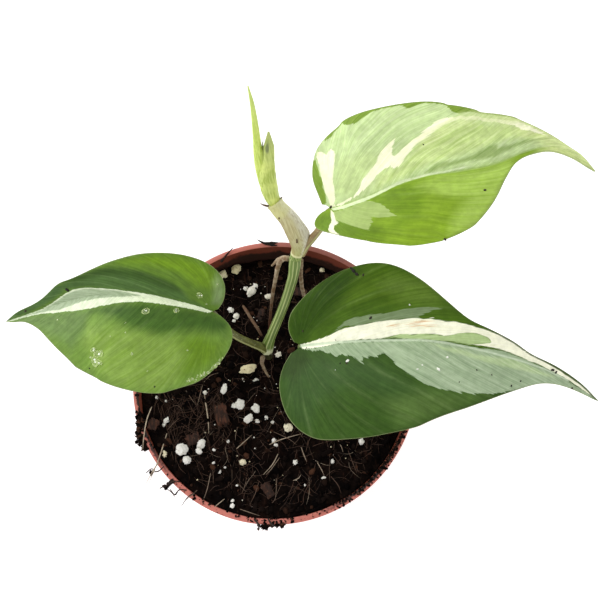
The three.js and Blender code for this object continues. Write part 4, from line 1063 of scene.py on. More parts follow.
# %% Stem
STEM = [(-1, 8, 46), (-1.2, 8.8, 62), (-1.3, 9.3, 74), (-1.2, 9.8, 81), (-0.9, 10.4, 85), (1.6, 13.2, 91),
        (5.3, 17.2, 98), (8.4, 20.7, 104), (11, 24.1, 109.5), (12.9, 27, 114), (13.9, 29.4, 117.2),
        (14.4, 30.8, 119.4), (14.7, 31.4, 120.9)]
STEM_RADII = [1.5, 1.5, 1.5, 1.7, 2.35, 1.7, 1.6, 1.6, 1.65, 1.75, 2.0, 1.95, 1.5]
RIDGES = 9
KNEE = 38.5
ALONG_STEM = (15, 21, 34)


def stem_relief(angle, travel, t):
    ring = 0.12 * math.exp(-(((travel - KNEE + 0.8) / 0.45) ** 2))
    return 0.045 * math.cos(RIDGES * angle) + ring


def stem_stripe(angle, travel):
    return math.cos(RIDGES * angle)


stem_skin = Finish("stem_skin", roughness=0.42)
wander = stem_skin.times(stem_skin.noise(stem_skin.grain(ALONG_STEM), 700, 3), 1.6)
pale_line = stem_skin.step(stem_skin.sum(stem_skin.stored("tone"), wander), 0.9, 1.7)
green = stem_skin.mix(stem_skin.noise(stem_skin.place(), 180), tint(78, 102, 36), tint(112, 134, 60))
striped = stem_skin.mix(pale_line, green, tint(184, 194, 126))
travel = stem_skin.stored("travel")
knee = stem_skin.step(stem_skin.apart(travel, KNEE), 0.8, 2.8, 0.85, 0)
striped = stem_skin.mix(knee, striped, tint(214, 216, 176))
# painted shadow: the stem just below the knee is dark brown, where it lies in shade
striped = stem_skin.mix(stem_skin.step(travel, KNEE - 3.4, KNEE - 1.2, 0.9, 0), striped, tint(48, 38, 24))
stem_skin.bump(stem_skin.noise(stem_skin.grain(ALONG_STEM), 1500, 3), 0.05, 0.5)
stem_skin.paint(striped)

bm = bmesh.new()
grow_limb(bm, STEM, STEM_RADII, sides=28, steps=150, relief=stem_relief, tone=stem_stripe)
keep("ridged_stem", bm, [stem_skin.material], ["stem"])

# %% [markdown]
# ## The sheath
# A papery sleeve wraps the foot of the newest leaf. It is ribbed, lapped over itself at the front, puffed
# out on the right and ragged at its collar. An open sleeve with a Solidify modifier would be truer to the
# skin, but stem and new leaf close both its ends, so a closed limb with a rich relief shows the same.

# %% Shape of the sheath
SHEATH = [(14.5, 30.7, 120), (16, 33, 124), (16.3, 35, 128), (15.7, 36.9, 131.2), (14.1, 39.4, 134.2),
          (12, 41.7, 136.6), (10.7, 43.5, 138.2)]
SHEATH_SIZES = [(1.9, 1.9), (2.1, 2.1), (2.85, 2.5), (3.4, 2.75), (3.4, 2.8), (3.1, 2.75),
                (2.85, 2.7), (2.6, 2.6), (2.6, 2.5)]


def sheath_relief(angle, travel, t):
    ribs = 0.022 * math.cos(11 * angle + 2 * t)
    ribs += 0.03 * noise.noise((math.cos(angle) * 2, math.sin(angle) * 2, travel / 3))
    seam = angle - 0.6 - 0.8 * t
    lap = 0.05 * math.tanh(seam * 12) * math.exp(-((seam / 0.5) ** 2))
    bulge = 0.2 * math.exp(-((angle / 0.8) ** 2) - ((t - 0.34) / 0.12) ** 2)
    collar = max(0, t - 0.93) * (1 + 0.8 * math.cos(9 * angle) * math.cos(4 * angle))
    return ribs + lap + bulge + collar


def sheath_side(angle, travel):
    """One on the right, where the paper is pale and carries a painted highlight, and zero on the left, in
    painted shade.
    """
    return 0.5 + 0.5 * math.cos(angle - 0.1)


bulge_share = sheath_relief(0, 8, 0.34)
print("sheath puffs out by", round(100 * bulge_share), "% at most")

# %% [markdown]
# Dry paper turns from green at its foot to buff and nearly white where it puffs out on the right, its own
# pale colour with a painted highlight on it. Brown veins run along it, its left edge is browner, partly
# its own brown and partly painted shade, and a pale ring marks where it grew from the stem. Torn brown
# shreds stick out at the mouth; their tone of 3 lies outside the paper's own range, which the last coat
# looks for.

# %% Papery sheath
papery = Finish("sheath_paper", roughness=0.62, gloss=0.3)
veined = papery.noise(papery.grain((-4, 13, 18), 12), 2000, 4, 0.6)
cloudy = papery.noise(papery.place(), 200, 3)
speck = papery.step(papery.noise(papery.place(), 800, 1, 0.4), 0.74, 0.78)
travel = papery.stored("travel")
shade = papery.mix(papery.step(travel, 2, 10), tint(176, 178, 116), tint(196, 190, 144))
# the pale right side is partly the paper's own colour and partly a painted highlight
lit_puffed_side = papery.sum(papery.stored("tone"), papery.times(cloudy, 0.5))
shade = papery.coat(shade, lit_puffed_side, 0.75, 1.2, 0.85, tint(224, 222, 206))
# the browner left edge is partly the paper's own brown and partly painted shade
leftward = papery.sum(papery.stored("tone"), papery.times(cloudy, 0.3))
shaded_brown_edge = papery.step(leftward, 0.12, 0.4, 0.6, 0)
shade = papery.mix(shaded_brown_edge, shade, tint(146, 128, 84))
shade = papery.coat(shade, veined, 0.48, 0.64, 0.5, tint(150, 130, 80))
shade = papery.mix(papery.times(speck, 0.75), shade, tint(64, 48, 30))
shade = papery.coat(shade, travel, 18.6, 20.4, 0.6, tint(208, 208, 140))
foot = papery.mix(papery.step(veined, 0.4, 0.6), tint(98, 121, 54), tint(150, 166, 96))
shade = papery.mix(papery.step(travel, 1.5, 1.8), foot, shade)
ring = papery.step(papery.apart(travel, 2.1), 0.25, 0.6, 0.9, 0)
shade = papery.mix(ring, shade, tint(214, 212, 160))
shade = papery.mix(papery.step(papery.stored("tone"), 1.5, 2.5), shade, tint(92, 70, 44))
papery.bump(veined, 0.12, 0.7)
papery.paint(shade)

SHREDS = [([(8.7, 42.8, 138), (7.3, 43.2, 138.5), (6.3, 43.9, 138.6)], [0.4, 0.3, 0.1], 10),
          ([(12.6, 43.6, 138.8), (13.3, 44.6, 139.4)], [0.45, 0.15], 8),
          ([(15.7, 32.4, 129.8), (15.8, 33.2, 130.8)], [0.32, 0.18], 8),
          ([(11.3, 38.6, 136.6), (11.4, 39.0, 137.2)], [0.26, 0.14], 8)]
bm = bmesh.new()
grow_limb(bm, SHEATH, SHEATH_SIZES, sides=44, steps=84, relief=sheath_relief, tone=sheath_side)
for line, radii, steps in SHREDS:
    grow_limb(bm, line, radii, sides=8, steps=steps, tone=3)
keep("papery_sheath", bm, [papery.material], ["sheath"])

# %% [markdown]
# ## The new leaf
# Out of the sheath's collar rises the next leaf, rolled up tight like a scroll, with a pointed hood of
# the old bud scale beside it. The scroll is a limb whose relief carries the lap of the roll; the hood is
# a flattened limb with a hollow front.

# %% Rolled leaf and hood
ROLL = [(12.6, 41.9, 134.6), (10.5, 44.4, 138), (8.7, 47.9, 142), (8.1, 52, 146.5), (8.2, 54.8, 150.5),
        (8.6, 57.6, 155), (8.9, 61, 159.5), (9, 64.2, 163.5), (8.7, 67.4, 167.5)]
ROLL_RADII = [1.1, 1.4, 1.6, 1.55, 1.4, 1.15, 0.9, 0.65, 0.2]
HOOD = [(12.3, 42.2, 135), (10.6, 44.2, 138.2), (9.8, 47, 142), (10, 50.1, 145.5), (11.1, 52.7, 149.5),
        (11.8, 55.4, 153), (12.4, 58.1, 156.5)]
HOOD_SIZES = [(1.8, 1.8), (2.1, 2.0), (2.7, 2.3), (2.6, 2.0), (1.7, 1.4), (1.6, 1.1), (0.3, 0.3)]


def roll_lap(angle, travel, t):
    """The step where the scroll laps over itself, winding a little on its way up."""
    seam = angle - 0.4 - 1.2 * t
    return 0.12 * math.tanh(seam * 9) * math.exp(-((seam / 0.6) ** 2)) + 0.03 * math.cos(5 * angle)


def hood_hollow(angle, travel, t):
    """The open front of the hood below its tip, and nine faint ribs."""
    hollow = max(0, min(1, (t - 0.55) / 0.2)) * max(0, min(1, (1 - t) / 0.1))
    return -0.45 * hollow * math.exp(-(((angle + 1.5) / 0.55) ** 2)) + 0.025 * math.cos(9 * angle)


def hood_shadow(angle, travel):
    """One in the hollow under the tip of the hood, which is painted grey as shade."""
    return math.exp(-(((angle + 1.95) / 0.5) ** 2) - ((travel - 22.6) / 1.9) ** 2)


def shoot_paint(name, dark, light, tip, reach):
    finish = Finish(name, roughness=0.4)
    lengthwise = finish.noise(finish.grain((-2, 21, 27), 10), 1900, 3)
    mottle = finish.noise(finish.place(), 260, 3)
    shade = finish.mix(finish.step(lengthwise, 0.4, 0.6), dark, light)
    shade = finish.coat(shade, mottle, 0.4, 0.75, 0.5, tint(228, 238, 134))
    shade = finish.coat(shade, finish.stored("travel"), reach * 0.55, reach, 0.6, tip)
    # painted shade where the tone is high: the hollow under the hood's tip and the crease beside it
    shade = finish.coat(shade, finish.stored("tone"), 0.25, 0.8, 0.85, tint(106, 116, 70))
    finish.bump(lengthwise, 0.06, 0.5)
    return finish.paint(shade, finish.step(mottle, 0.3, 0.7, 0.34, 0.5))


roll_skin = shoot_paint("scroll_skin", tint(166, 192, 62), tint(206, 224, 110), tint(192, 210, 118),
                        reach=42)
hood_skin = shoot_paint("hood_skin", tint(162, 180, 72), tint(196, 210, 112), tint(156, 168, 104),
                        reach=26)
SIDE_FLAP = [(8.3, 47.1, 144), (8.9, 51.9, 148), (9.2, 55.1, 151.5), (9.5, 57.9, 154.6)]
FLAP_SIZES = [(0.8, 0.6), (0.9, 0.55), (0.65, 0.45), 0.12]
# a thin limb painted dark along the crease at the hood's side: a painted shadow
CREASE_SHADOW = [(9.4, 50.4, 146.9), (9.9, 55, 151.2), (10.1, 57, 153.6)]

bm = bmesh.new()
grow_limb(bm, ROLL, ROLL_RADII, sides=24, steps=110, relief=roll_lap, tone=0)
keep("rolled_leaf", bm, [roll_skin], ["new_leaf_roll"])
bm = bmesh.new()
grow_limb(bm, HOOD, HOOD_SIZES, sides=36, steps=90, relief=hood_hollow, tone=hood_shadow)
grow_limb(bm, SIDE_FLAP, FLAP_SIZES, sides=16, steps=40, tone=0)
grow_limb(bm, CREASE_SHADOW, [0.2, 0.3, 0.1], sides=8, steps=24, tone=1)
keep("pointed_hood", bm, [hood_skin], ["new_leaf_hood"])

# %% [markdown]
# ## Aerial roots
# Climbing aroids push short brown roots out of their joints. They are dry, knobbly and a little crooked,
# so each is a limb with coarse random relief and a dusty brown finish.

# %% Roots
ROOTS = {
    "root_long": ([(12.2, 32, 117.3), (10.4, 32.7, 116), (8.6, 32.1, 113), (6.9, 30.3, 106),
                   (4.7, 27.4, 97), (2.8, 24.2, 88), (1.3, 21.4, 80), (-0.3, 18.7, 70)],
                  [0.9, 1.0, 0.85, 0.7, 0.62, 0.54, 0.48, 0.42]),
    "root_back": ([(16.4, 30.6, 117.6), (15.6, 28.9, 112), (15.2, 27.5, 100), (15.5, 26.8, 88),
                   (15.6, 26.2, 70)], [0.7, 0.75, 0.7, 0.65, 0.6]),
    "root_base": ([(-3, 7.6, 82.4), (-3.9, 6.2, 79.4), (-3.5, 4, 77.2), (-2.6, 1.8, 76), (-1.8, 0.4, 72)],
                  [0.9, 0.75, 0.55, 0.42, 0.35]),
    "root_surface": ([(-8.8, 31.6, 72), (-7.6, 28.6, 76.2), (-5.6, 23.8, 77), (-3.6, 19.4, 76.8),
                      (-2.6, 16.6, 72)], [0.4, 0.6, 0.65, 0.6, 0.4]),
}
ROOT_TONES = {"root_long": lambda angle, travel: travel / 48, "root_back": 0.35, "root_base": 0.4,
              "root_surface": 0.65}
ROOT_STUB = ([(11.2, 32.6, 116.8), (8.8, 33.2, 114.4), (6.1, 32.9, 110)], [0.75, 0.7, 0.3])


def root_relief(angle, travel, t):
    spot = (math.cos(angle) * 1.3, math.sin(angle) * 1.3, travel / 1.6)
    return 0.22 * noise.noise(spot) + 0.1 * noise.noise((spot[0] * 3, spot[1] * 3, travel / 0.5))


root_bark = Finish("root_bark", roughness=0.8, gloss=0.25)
patchy = root_bark.noise(root_bark.place(), 500, 4)
shade = root_bark.mix(root_bark.step(patchy, 0.35, 0.65), tint(122, 98, 72), tint(176, 160, 134))
shade = root_bark.coat(shade, root_bark.noise(root_bark.place(), 1500, 2), 0.6, 0.7, 0.6, tint(84, 60, 42))
shade = root_bark.mix(root_bark.step(root_bark.stored("tone"), 0.1, 0.9), shade, tint(86, 54, 36))
root_bark.bump(patchy, 0.2, 0.7)
root_bark.paint(shade)

for name, (line, radii) in ROOTS.items():
    bm = bmesh.new()
    grow_limb(bm, line, radii, sides=14, steps=70, relief=root_relief, tone=ROOT_TONES[name])
    if name == "root_long":
        grow_limb(bm, *ROOT_STUB, sides=14, steps=24, relief=root_relief, tone=0.1)
    keep("aerial_" + name, bm, [root_bark.material], [name])

# %% [markdown]
# ## Peat
# The pot is filled with dark peat, heaped towards the front. A flat disc with a bump would look like
# cloth. Here a line from the middle to the wall is spun into a fine disc and every corner is lifted by
# several sizes of noise. The disc is the lid of a plug that reaches down under the pot's collar, so no
# gap shows from a low view. Loose crumbs, fibres and white grains are laid on it one by one afterwards.

# %% Height of the peat
MIDDLE_HEIGHT = 74.5
PEAT_REACH = 50


def soil_level(x, y):
    """Height in mm of the smoothed peat: low at the back, heaped at the front left."""
    r = math.hypot(x, y) / PEAT_REACH
    return MIDDLE_HEIGHT + 2.0 * r * r + (-4.6 * y - 2.4 * x) / PEAT_REACH * r


def soil_height(x, y):
    """The same with clods and grit."""
    clods = 1.1 * noise.noise((x / 6, y / 6, 1.3)) + 0.9 * noise.noise((x / 2.6, y / 2.6, 4.1))
    grit = 0.55 * abs(noise.noise((x / 1.1, y / 1.1, 7.7))) + 0.3 * noise.noise((x / 0.5, y / 0.5, 2.2))
    return soil_level(x, y) + clods + grit


def inner_wall(z):
    """Inner radius of the pot at a height in its collar."""
    low, high = body_top + COLLAR_STEP - WALL, RIM_RADIUS - 2.1
    share = (z - COLLAR_BOTTOM - 1.8) / (collar_top - COLLAR_BOTTOM - 1.8)
    return low + (high - low) * min(1, max(0, share))


print("peat at the back and at the front:", round(soil_level(0, 49), 1), round(soil_level(0, -49), 1))

# %% [markdown]
# The lid of the plug is lifted corner by corner to the height above. Near the wall each corner also
# moves in or out, so that the peat always meets the plastic, however high it lies there.

# %% Peat surface
LID_EDGE = 49.5
FITTED_FROM = 47.5
PLUG = [(0, MIDDLE_HEIGHT), (LID_EDGE, MIDDLE_HEIGHT), (47.9, 67.8), (44.5, 65.6), (43.6, 60), (0, 60)]
bm, lines = draw_profile(PLUG)
bmesh.ops.subdivide_edges(bm, edges=lines[:1], cuts=118)
spin_round(bm, steps=380)
for vert in bm.verts:
    if vert.co.z > 70 * MM:
        x, y = vert.co.x / MM, vert.co.y / MM
        height = soil_height(x, y)
        r = math.hypot(x, y)
        if r > FITTED_FROM:
            to_wall = inner_wall(height) - 0.15 - LID_EDGE
            pull = 1 + to_wall * (r - FITTED_FROM) / (LID_EDGE - FITTED_FROM) / r
            x, y = x * pull, y * pull
        vert.co = Vector((x, y, height)) * MM

peat = Finish("peat", roughness=0.88, gloss=0.04)
coarse = peat.noise(peat.place(), 240, 5, 0.6)
fine = peat.noise(peat.place(), 1300, 3, 0.6)
thready = peat.noise(peat.place((1, 0.12, 1)), 900, 3)
broad = peat.noise(peat.place(), 75, 3, 0.6)
shade = peat.mix(peat.step(coarse, 0.36, 0.68), tint(3, 1, 1), tint(19, 12, 9))
shade = peat.coat(shade, broad, 0.5, 0.68, 0.5, tint(33, 18, 13))
shade = peat.coat(shade, thready, 0.58, 0.72, 0.55, tint(48, 29, 21))
shade = peat.coat(shade, fine, 0.62, 0.74, 0.4, tint(50, 38, 30))
peat.bump(coarse, 0.5, 0.6)
peat.bump(fine, 0.25, 0.8)
peat.paint(shade, peat.step(coarse, 0.3, 0.7, 0.78, 0.95))
keep("peat_surface", bm, [peat.material], ["soil"])

# %% [markdown]
# Crumbs are rough little lumps. Fifteen hundred of them need few faces each, so every crumb is an
# icosphere of one step, stretched, turned and dented. Each stores a tone, and the finish reads it so that
# no two crumbs share a brown.

# %% Crumbs and clods
def place_lump(bm, centre, half, turn, dent, detail, tone, rng):
    made = bmesh.ops.create_icosphere(bm, subdivisions=detail, radius=1)["verts"]
    shade = bm.verts.layers.float["tone"]
    tip = Matrix.Rotation(rng.uniform(-0.5, 0.5), 3, "X") @ Matrix.Rotation(turn, 3, "Z")
    offset = Vector((rng.uniform(0, 90), rng.uniform(0, 90), rng.uniform(0, 90)))
    for vert in made:
        dents = noise.noise(vert.co * 1.7 + offset) + 0.5 * noise.noise(vert.co * 4 + offset)
        stretched = Vector([c * h for c, h in zip(vert.co, half)]) * (1 + dent * dents)
        vert.co = (Vector(centre) + tip @ stretched) * MM
        vert[shade] = tone


def place_on_disc(radius):
    """A random place in mm, evenly spread over a disc."""
    r = radius * math.sqrt(rng.random())
    a = rng.uniform(0, 2 * math.pi)
    return r * math.cos(a), r * math.sin(a)


crumb_skin = Finish("peat_crumbs", roughness=0.9, gloss=0.05)
tone = crumb_skin.stored("tone")
shade = crumb_skin.mix(crumb_skin.step(tone, 0, 0.8), tint(3, 1, 1), tint(23, 15, 12))
shade = crumb_skin.coat(shade, tone, 0.82, 1.0, 0.9, tint(74, 48, 35))
speckle = crumb_skin.noise(crumb_skin.place(), 1500, 3)
shade = crumb_skin.coat(shade, speckle, 0.58, 0.75, 0.35, tint(50, 36, 28))
crumb_skin.bump(speckle, 0.25, 0.8)
crumb_skin.paint(shade)
print("crumb nodes:", len(crumb_skin.tree.nodes))

# %% [markdown]
# Thousands of scraps in one mesh make every operator slow, because it walks the whole mesh each time. So
# a scrap is made in a small mesh of its own and then poured on the heap.

# %% A heap of scraps
class Scatter:
    """A growing heap: every scrap is made in a small bmesh of its own, which stays quick, and added."""

    def __init__(self):
        self.heap = bmesh.new()
        limb_layers(self.heap)
        self.scrap = bpy.data.meshes.new("scrap")

    def add(self, make, *parts, **named):
        small = bmesh.new()
        limb_layers(small)
        make(small, *parts, **named)
        small.to_mesh(self.scrap)
        small.free()
        self.heap.from_mesh(self.scrap)


CRUMBS = 1500
rng = random.Random(7)
heap = Scatter()
for _ in range(CRUMBS):
    x, y = place_on_disc(49.2)
    size = 0.28 + 1.25 * rng.random() ** 3
    half = (size * rng.uniform(0.7, 1.6), size * rng.uniform(0.6, 1), size * rng.uniform(0.5, 0.9))
    reach = min(1, (49.3 - max(half)) / max(math.hypot(x, y), 1))
    centre = (x * reach, y * reach, soil_height(x * reach, y * reach) + size * 0.1)
    heap.add(place_lump, centre, half, rng.uniform(0, 6.3), 0.5, 2, rng.random(), rng)
print("corners in the crumbs:", len(heap.heap.verts))

# %% [markdown]
# Peat was spilt over the rim at the left and at the front when the plant was potted. There the crumbs form
# clods: each clod is a cloud of small crumbs round a centre, with a spread in each direction. A thin trail
# of finer crumbs then follows the rim, thicker where several of the random headings gather.

# %% Clods and crumbs on the rim
CLODS = [((-50.8, -9, 81.6), (1.6, 5.4, 1.4), 75), ((-51.2, -15, 81.8), (1.4, 3.2, 1.2), 55),
         ((-49.9, -18.6, 81.9), (1.1, 2.0, 0.8), 16), ((-48.6, -27.2, 82.4), (1.0, 1.2, 0.5), 4),
         ((-43.4, -33.6, 82.3), (2.2, 0.8, 0.4), 6), ((-9.8, -52, 81.7), (3.2, 0.9, 0.8), 26),
         ((-5.4, -52.2, 81.7), (2.0, 0.8, 0.7), 15)]
for centre, half, count in CLODS:
    for _ in range(count):
        off = Vector((rng.gauss(0, 0.42), rng.gauss(0, 0.42), rng.gauss(0, 0.36)))
        spot = [c + o * h for c, o, h in zip(centre, off, half)]
        size = rng.uniform(0.2, 0.62)
        half_crumb = (size * 1.7, size, size * 0.7)
        heap.add(place_lump, spot, half_crumb, rng.uniform(0, 6.3), 1.1, 2, rng.random() ** 0.5, rng)
RIM_CRUMBS = 560
for _ in range(RIM_CRUMBS):
    a = math.radians(rng.choice((
        rng.uniform(150, 232), rng.uniform(232, 350), rng.gauss(262, 9), rng.gauss(308, 14),
        rng.gauss(312, 12), rng.gauss(316, 14))))
    r = 50.2 + 2.0 * rng.random() ** 1.4
    size = 0.1 + 0.4 * rng.random() ** 2.5
    half = (size * 1.5, size, size * 0.6)
    spot = (r * math.cos(a), r * math.sin(a), POT_HEIGHT + size * 0.3)
    heap.add(place_lump, spot, half, rng.uniform(0, 6), 0.9, 1, rng.random(), rng)
keep("peat_crumb_scatter", heap.heap, [crumb_skin.material])

# %% [markdown]
# Fibres and straws give potting peat its hairy look. A particle system would not travel with the model,
# so each fibre is a thin limb with a few bends. The pale straws that catch the eye lie where they lie in
# the real pot, and so do the torn shreds that hang over its rim. A line gives the places, the radius in mm
# and the tone, which runs from dark brown to straw.

# %% Straws and shreds in their places
STRAWS = [
    ([(-27.2, -0.9), (-26.9, -5.5), (-26.7, -11.4), (-27, -16.5)], 0.3, 0.85),
    ([(-23, -6.7), (-23.2, -10.6), (-23.4, -12.9)], 0.28, 0.72),
    ([(-27.5, 1.8), (-29, -2.6), (-30.3, -5.7)], 0.18, 0.7),
    ([(-33.7, 0.7), (-32.1, -2.5), (-30.3, -5.7)], 0.18, 0.68),
    ([(-26.8, 3), (-24, 5), (-20.3, 5.8)], 0.16, 0.7),
    ([(-17.6, -23.6), (-14.5, -21.5), (-11.4, -19.3)], 0.22, 0.8),
    ([(-5.6, -23.9), (-1, -22.7), (6.5, -21.7)], 0.24, 0.84),
    ([(-3.4, -19.4), (1.5, -22.7), (4.3, -25.4)], 0.16, 0.66),
    ([(5.8, -26.6), (6.5, -29.8), (7, -32.1)], 0.2, 0.76),
    ([(-2.9, -27.7), (-5.3, -31.1), (-9.1, -34.3)], 0.22, 0.8),
    ([(-2.5, -29.1), (-6.1, -32.9), (-8.2, -34.4)], 0.18, 0.72),
    ([(-4.7, -36.2), (-5, -39.8), (-6, -43.8)], 0.16, 0.7),
    ([(-27.6, -30.9), (-29.2, -36.1), (-31, -40)], 0.18, 0.72),
    ([(-23.6, -40.6), (-25.8, -42), (-27.4, -42.9)], 0.2, 0.8),
    ([(-41.9, -14.4), (-43.7, -19.2), (-45.5, -23.9), (-49.2, -31.3)], 0.26, 0.82),
    ([(-32.9, -36.2), (-34.8, -37.7), (-36.7, -38.9)], 0.18, 0.7),
    ([(-18.5, -44.9), (-15.1, -46.6), (-11.9, -48.2)], 0.18, 0.7),
    ([(10.8, -33), (11.9, -35.7), (12.5, -37.9)], 0.18, 0.78),
    ([(1.3, -38), (3.3, -37.4), (4.3, -36.3)], 0.2, 0.78),
    ([(-38.9, -4.4), (-37.1, -4.7), (-35.4, -6.6)], 0.16, 0.66),
    ([(-41.5, -13.1), (-39.5, -11.2), (-36.9, -9.3)], 0.18, 0.66),
    ([(-32.1, -12.5), (-29.4, -9.7), (-27.2, -6.8)], 0.16, 0.6),
    ([(-15, -34.6), (-15.9, -36.9), (-17.4, -39.7)], 0.16, 0.66),
    ([(19.5, -26.2), (20.3, -28.9), (20.6, -30.8)], 0.18, 0.74),
    ([(22.5, -30.5), (23.5, -35.6), (24.2, -38.8)], 0.16, 0.62),
    ([(-10.9, -36.4), (-12.6, -40.4), (-14.8, -43.7)], 0.16, 0.64),
    ([(14.9, -38.6), (16.8, -41.9), (17.5, -45)], 0.16, 0.62),
]
OVER_RIM = [
    ([(-45.9, -4.3, 82.6), (-47.9, -8.9, 83.6), (-49.4, -14.9, 84.2), (-50.3, -19.2, 83.8)], 0.2, 0.9),
    ([(-45.8, -33.6, 82.8), (-43.6, -32.9, 83.1), (-41.5, -32.6, 82.4)], 0.22, 0.1),
    ([(-42.2, -34.4, 82.8), (-40.6, -36.6, 82.6), (-39, -34.9, 82.6)], 0.2, 0.12),
    ([(-43.2, -34.2, 82.7), (-41.8, -35.6, 82.5), (-40.9, -37.3, 82.3)], 0.17, 0.1),
    ([(-50.2, -27.6, 82.9), (-48, -26.4, 83.1), (-46.6, -27.5, 82.6)], 0.2, 0.1),
    ([(-43.5, -26.1, 82.6), (-45.6, -27.6, 83.2), (-49, -27.4, 82.4)], 0.24, 0.1),
    ([(-45.3, -24.6, 82.4), (-47, -26.7, 83.6), (-50.3, -31.1, 83.4)], 0.22, 0.82),
    ([(-38.6, -32.3, 81.8), (-41, -31.9, 83.2), (-44.3, -33.8, 82.8)], 0.24, 0.1),
    ([(-36.5, -35.6, 82), (-38.9, -35.2, 83), (-41.3, -37, 82.4)], 0.24, 0.12),
    ([(-33.5, -36.7, 82), (-36.1, -38.1, 83.2), (-38.9, -40.9, 82.8)], 0.2, 0.15),
    ([(-14, -49, 82), (-12.7, -51, 83.2), (-12.9, -52.3, 82.6)], 0.4, 0.1),
    ([(-9.2, -49.5, 82.2), (-8.2, -51.4, 83.2), (-6.2, -53, 82.6)], 0.36, 0.12),
]
print("straws:", len(STRAWS), "shreds:", len(OVER_RIM))

# %% [markdown]
# All fibres share one finish, which turns their stored tone into a colour. The placed straws lie a little
# above the soil in their middle and closer to it at their ends, as dry straws do.

# %% Straw finish and placed straws
straw_skin = Finish("straw", roughness=0.7, gloss=0.3)
tone = straw_skin.stored("tone")
shade = straw_skin.mix(straw_skin.step(tone, 0.1, 0.55), tint(24, 16, 13), tint(76, 55, 44))
shade = straw_skin.mix(straw_skin.step(tone, 0.6, 0.88), shade, tint(190, 173, 150))
lengthwise = straw_skin.noise(straw_skin.place(), 900, 3)
shade = straw_skin.coat(shade, lengthwise, 0.4, 0.7, 0.5, tint(96, 66, 48))
straw_skin.bump(lengthwise, 0.05, 0.6)
straw_skin.paint(shade)

heap = Scatter()


def add_straw(points, radius, tone, sides, steps):
    radii = [radius * 0.8] + [radius] * (len(points) - 2) + [radius * 0.35]
    heap.add(grow_limb, points, radii, sides, steps, tone=tone)


for line, radius, tone in STRAWS:
    lift = [0.3] + [0.9] * (len(line) - 2) + [0.4]
    raised = [(x, y, max(soil_height(x, y), soil_level(x, y)) + up_by)
              for (x, y), up_by in zip(line, lift)]
    add_straw(raised, radius * 0.8, tone, sides=7, steps=14)
for line, radius, tone in OVER_RIM:
    add_straw(line, radius, tone, sides=7, steps=12)
print("corners in the placed straws:", len(heap.heap.verts))

# %% [markdown]
# Between them lies a felt of fine fibres. Each starts at a random place and creeps over the soil in a few
# steps, turning a little at each one, and is dropped if it would reach the wall. Nine hundred dark ones
# lie in all directions; paler ones in front and brown ones at the left lie roughly the way the peat was
# brushed.

# %% Scattered fibres
FINE_FIBRES = 900
PALE_STRAWS = 95
BROWN_STRAWS = 120
rng = random.Random(23)


def creep(x, y, heading, length, corners, edge, lift, wander):
    """The corners of a fibre that creeps over the soil; fewer of them if it meets the edge."""
    line = []
    for _ in range(corners):
        if math.hypot(x, y) > edge:
            break
        line.append((x, y, soil_height(x, y) + rng.uniform(*lift)))
        heading += rng.gauss(0, wander)
        x += math.cos(heading) * length / (corners - 1)
        y += math.sin(heading) * length / (corners - 1)
    return line


for _ in range(FINE_FIBRES):
    x, y = place_on_disc(47.5)
    line = creep(x, y, rng.uniform(0, 2 * math.pi), rng.uniform(2.5, 9), 4, 48, (0, 0.75), 0.5)
    if len(line) == 4:
        add_straw(line, rng.uniform(0.04, 0.11), rng.uniform(0.1, 0.62), sides=4, steps=6)
for k in range(PALE_STRAWS + BROWN_STRAWS):
    brown = k >= PALE_STRAWS
    wide, deep, tones = ((-46, -20), (-18, 3), (0.35, 0.6)) if brown else ((-34, 34), (-46, 4), (0.5, 0.8))
    x, y = rng.uniform(*wide), rng.uniform(*deep)
    heading = math.radians(rng.gauss(255, 32))
    line = creep(x, y, heading, rng.uniform(4, 11), 5, 48.5, (0.3, 1.1), 0.22)
    if len(line) == 5:
        add_straw(line, rng.uniform(0.04, 0.075), rng.uniform(*tones), sides=4, steps=8)
keep("peat_fibres", heap.heap, [straw_skin.material])

# %% [markdown]
# ## White grains
# Perlite is volcanic glass puffed up like popcorn: white, rounded and pitted. The larger grains are
# icospheres with knobs and pits from two sizes of noise; the dust of tiny grains uses fewer faces. A
# grain's tone makes it yellower and more pitted when low, and whiter when high.

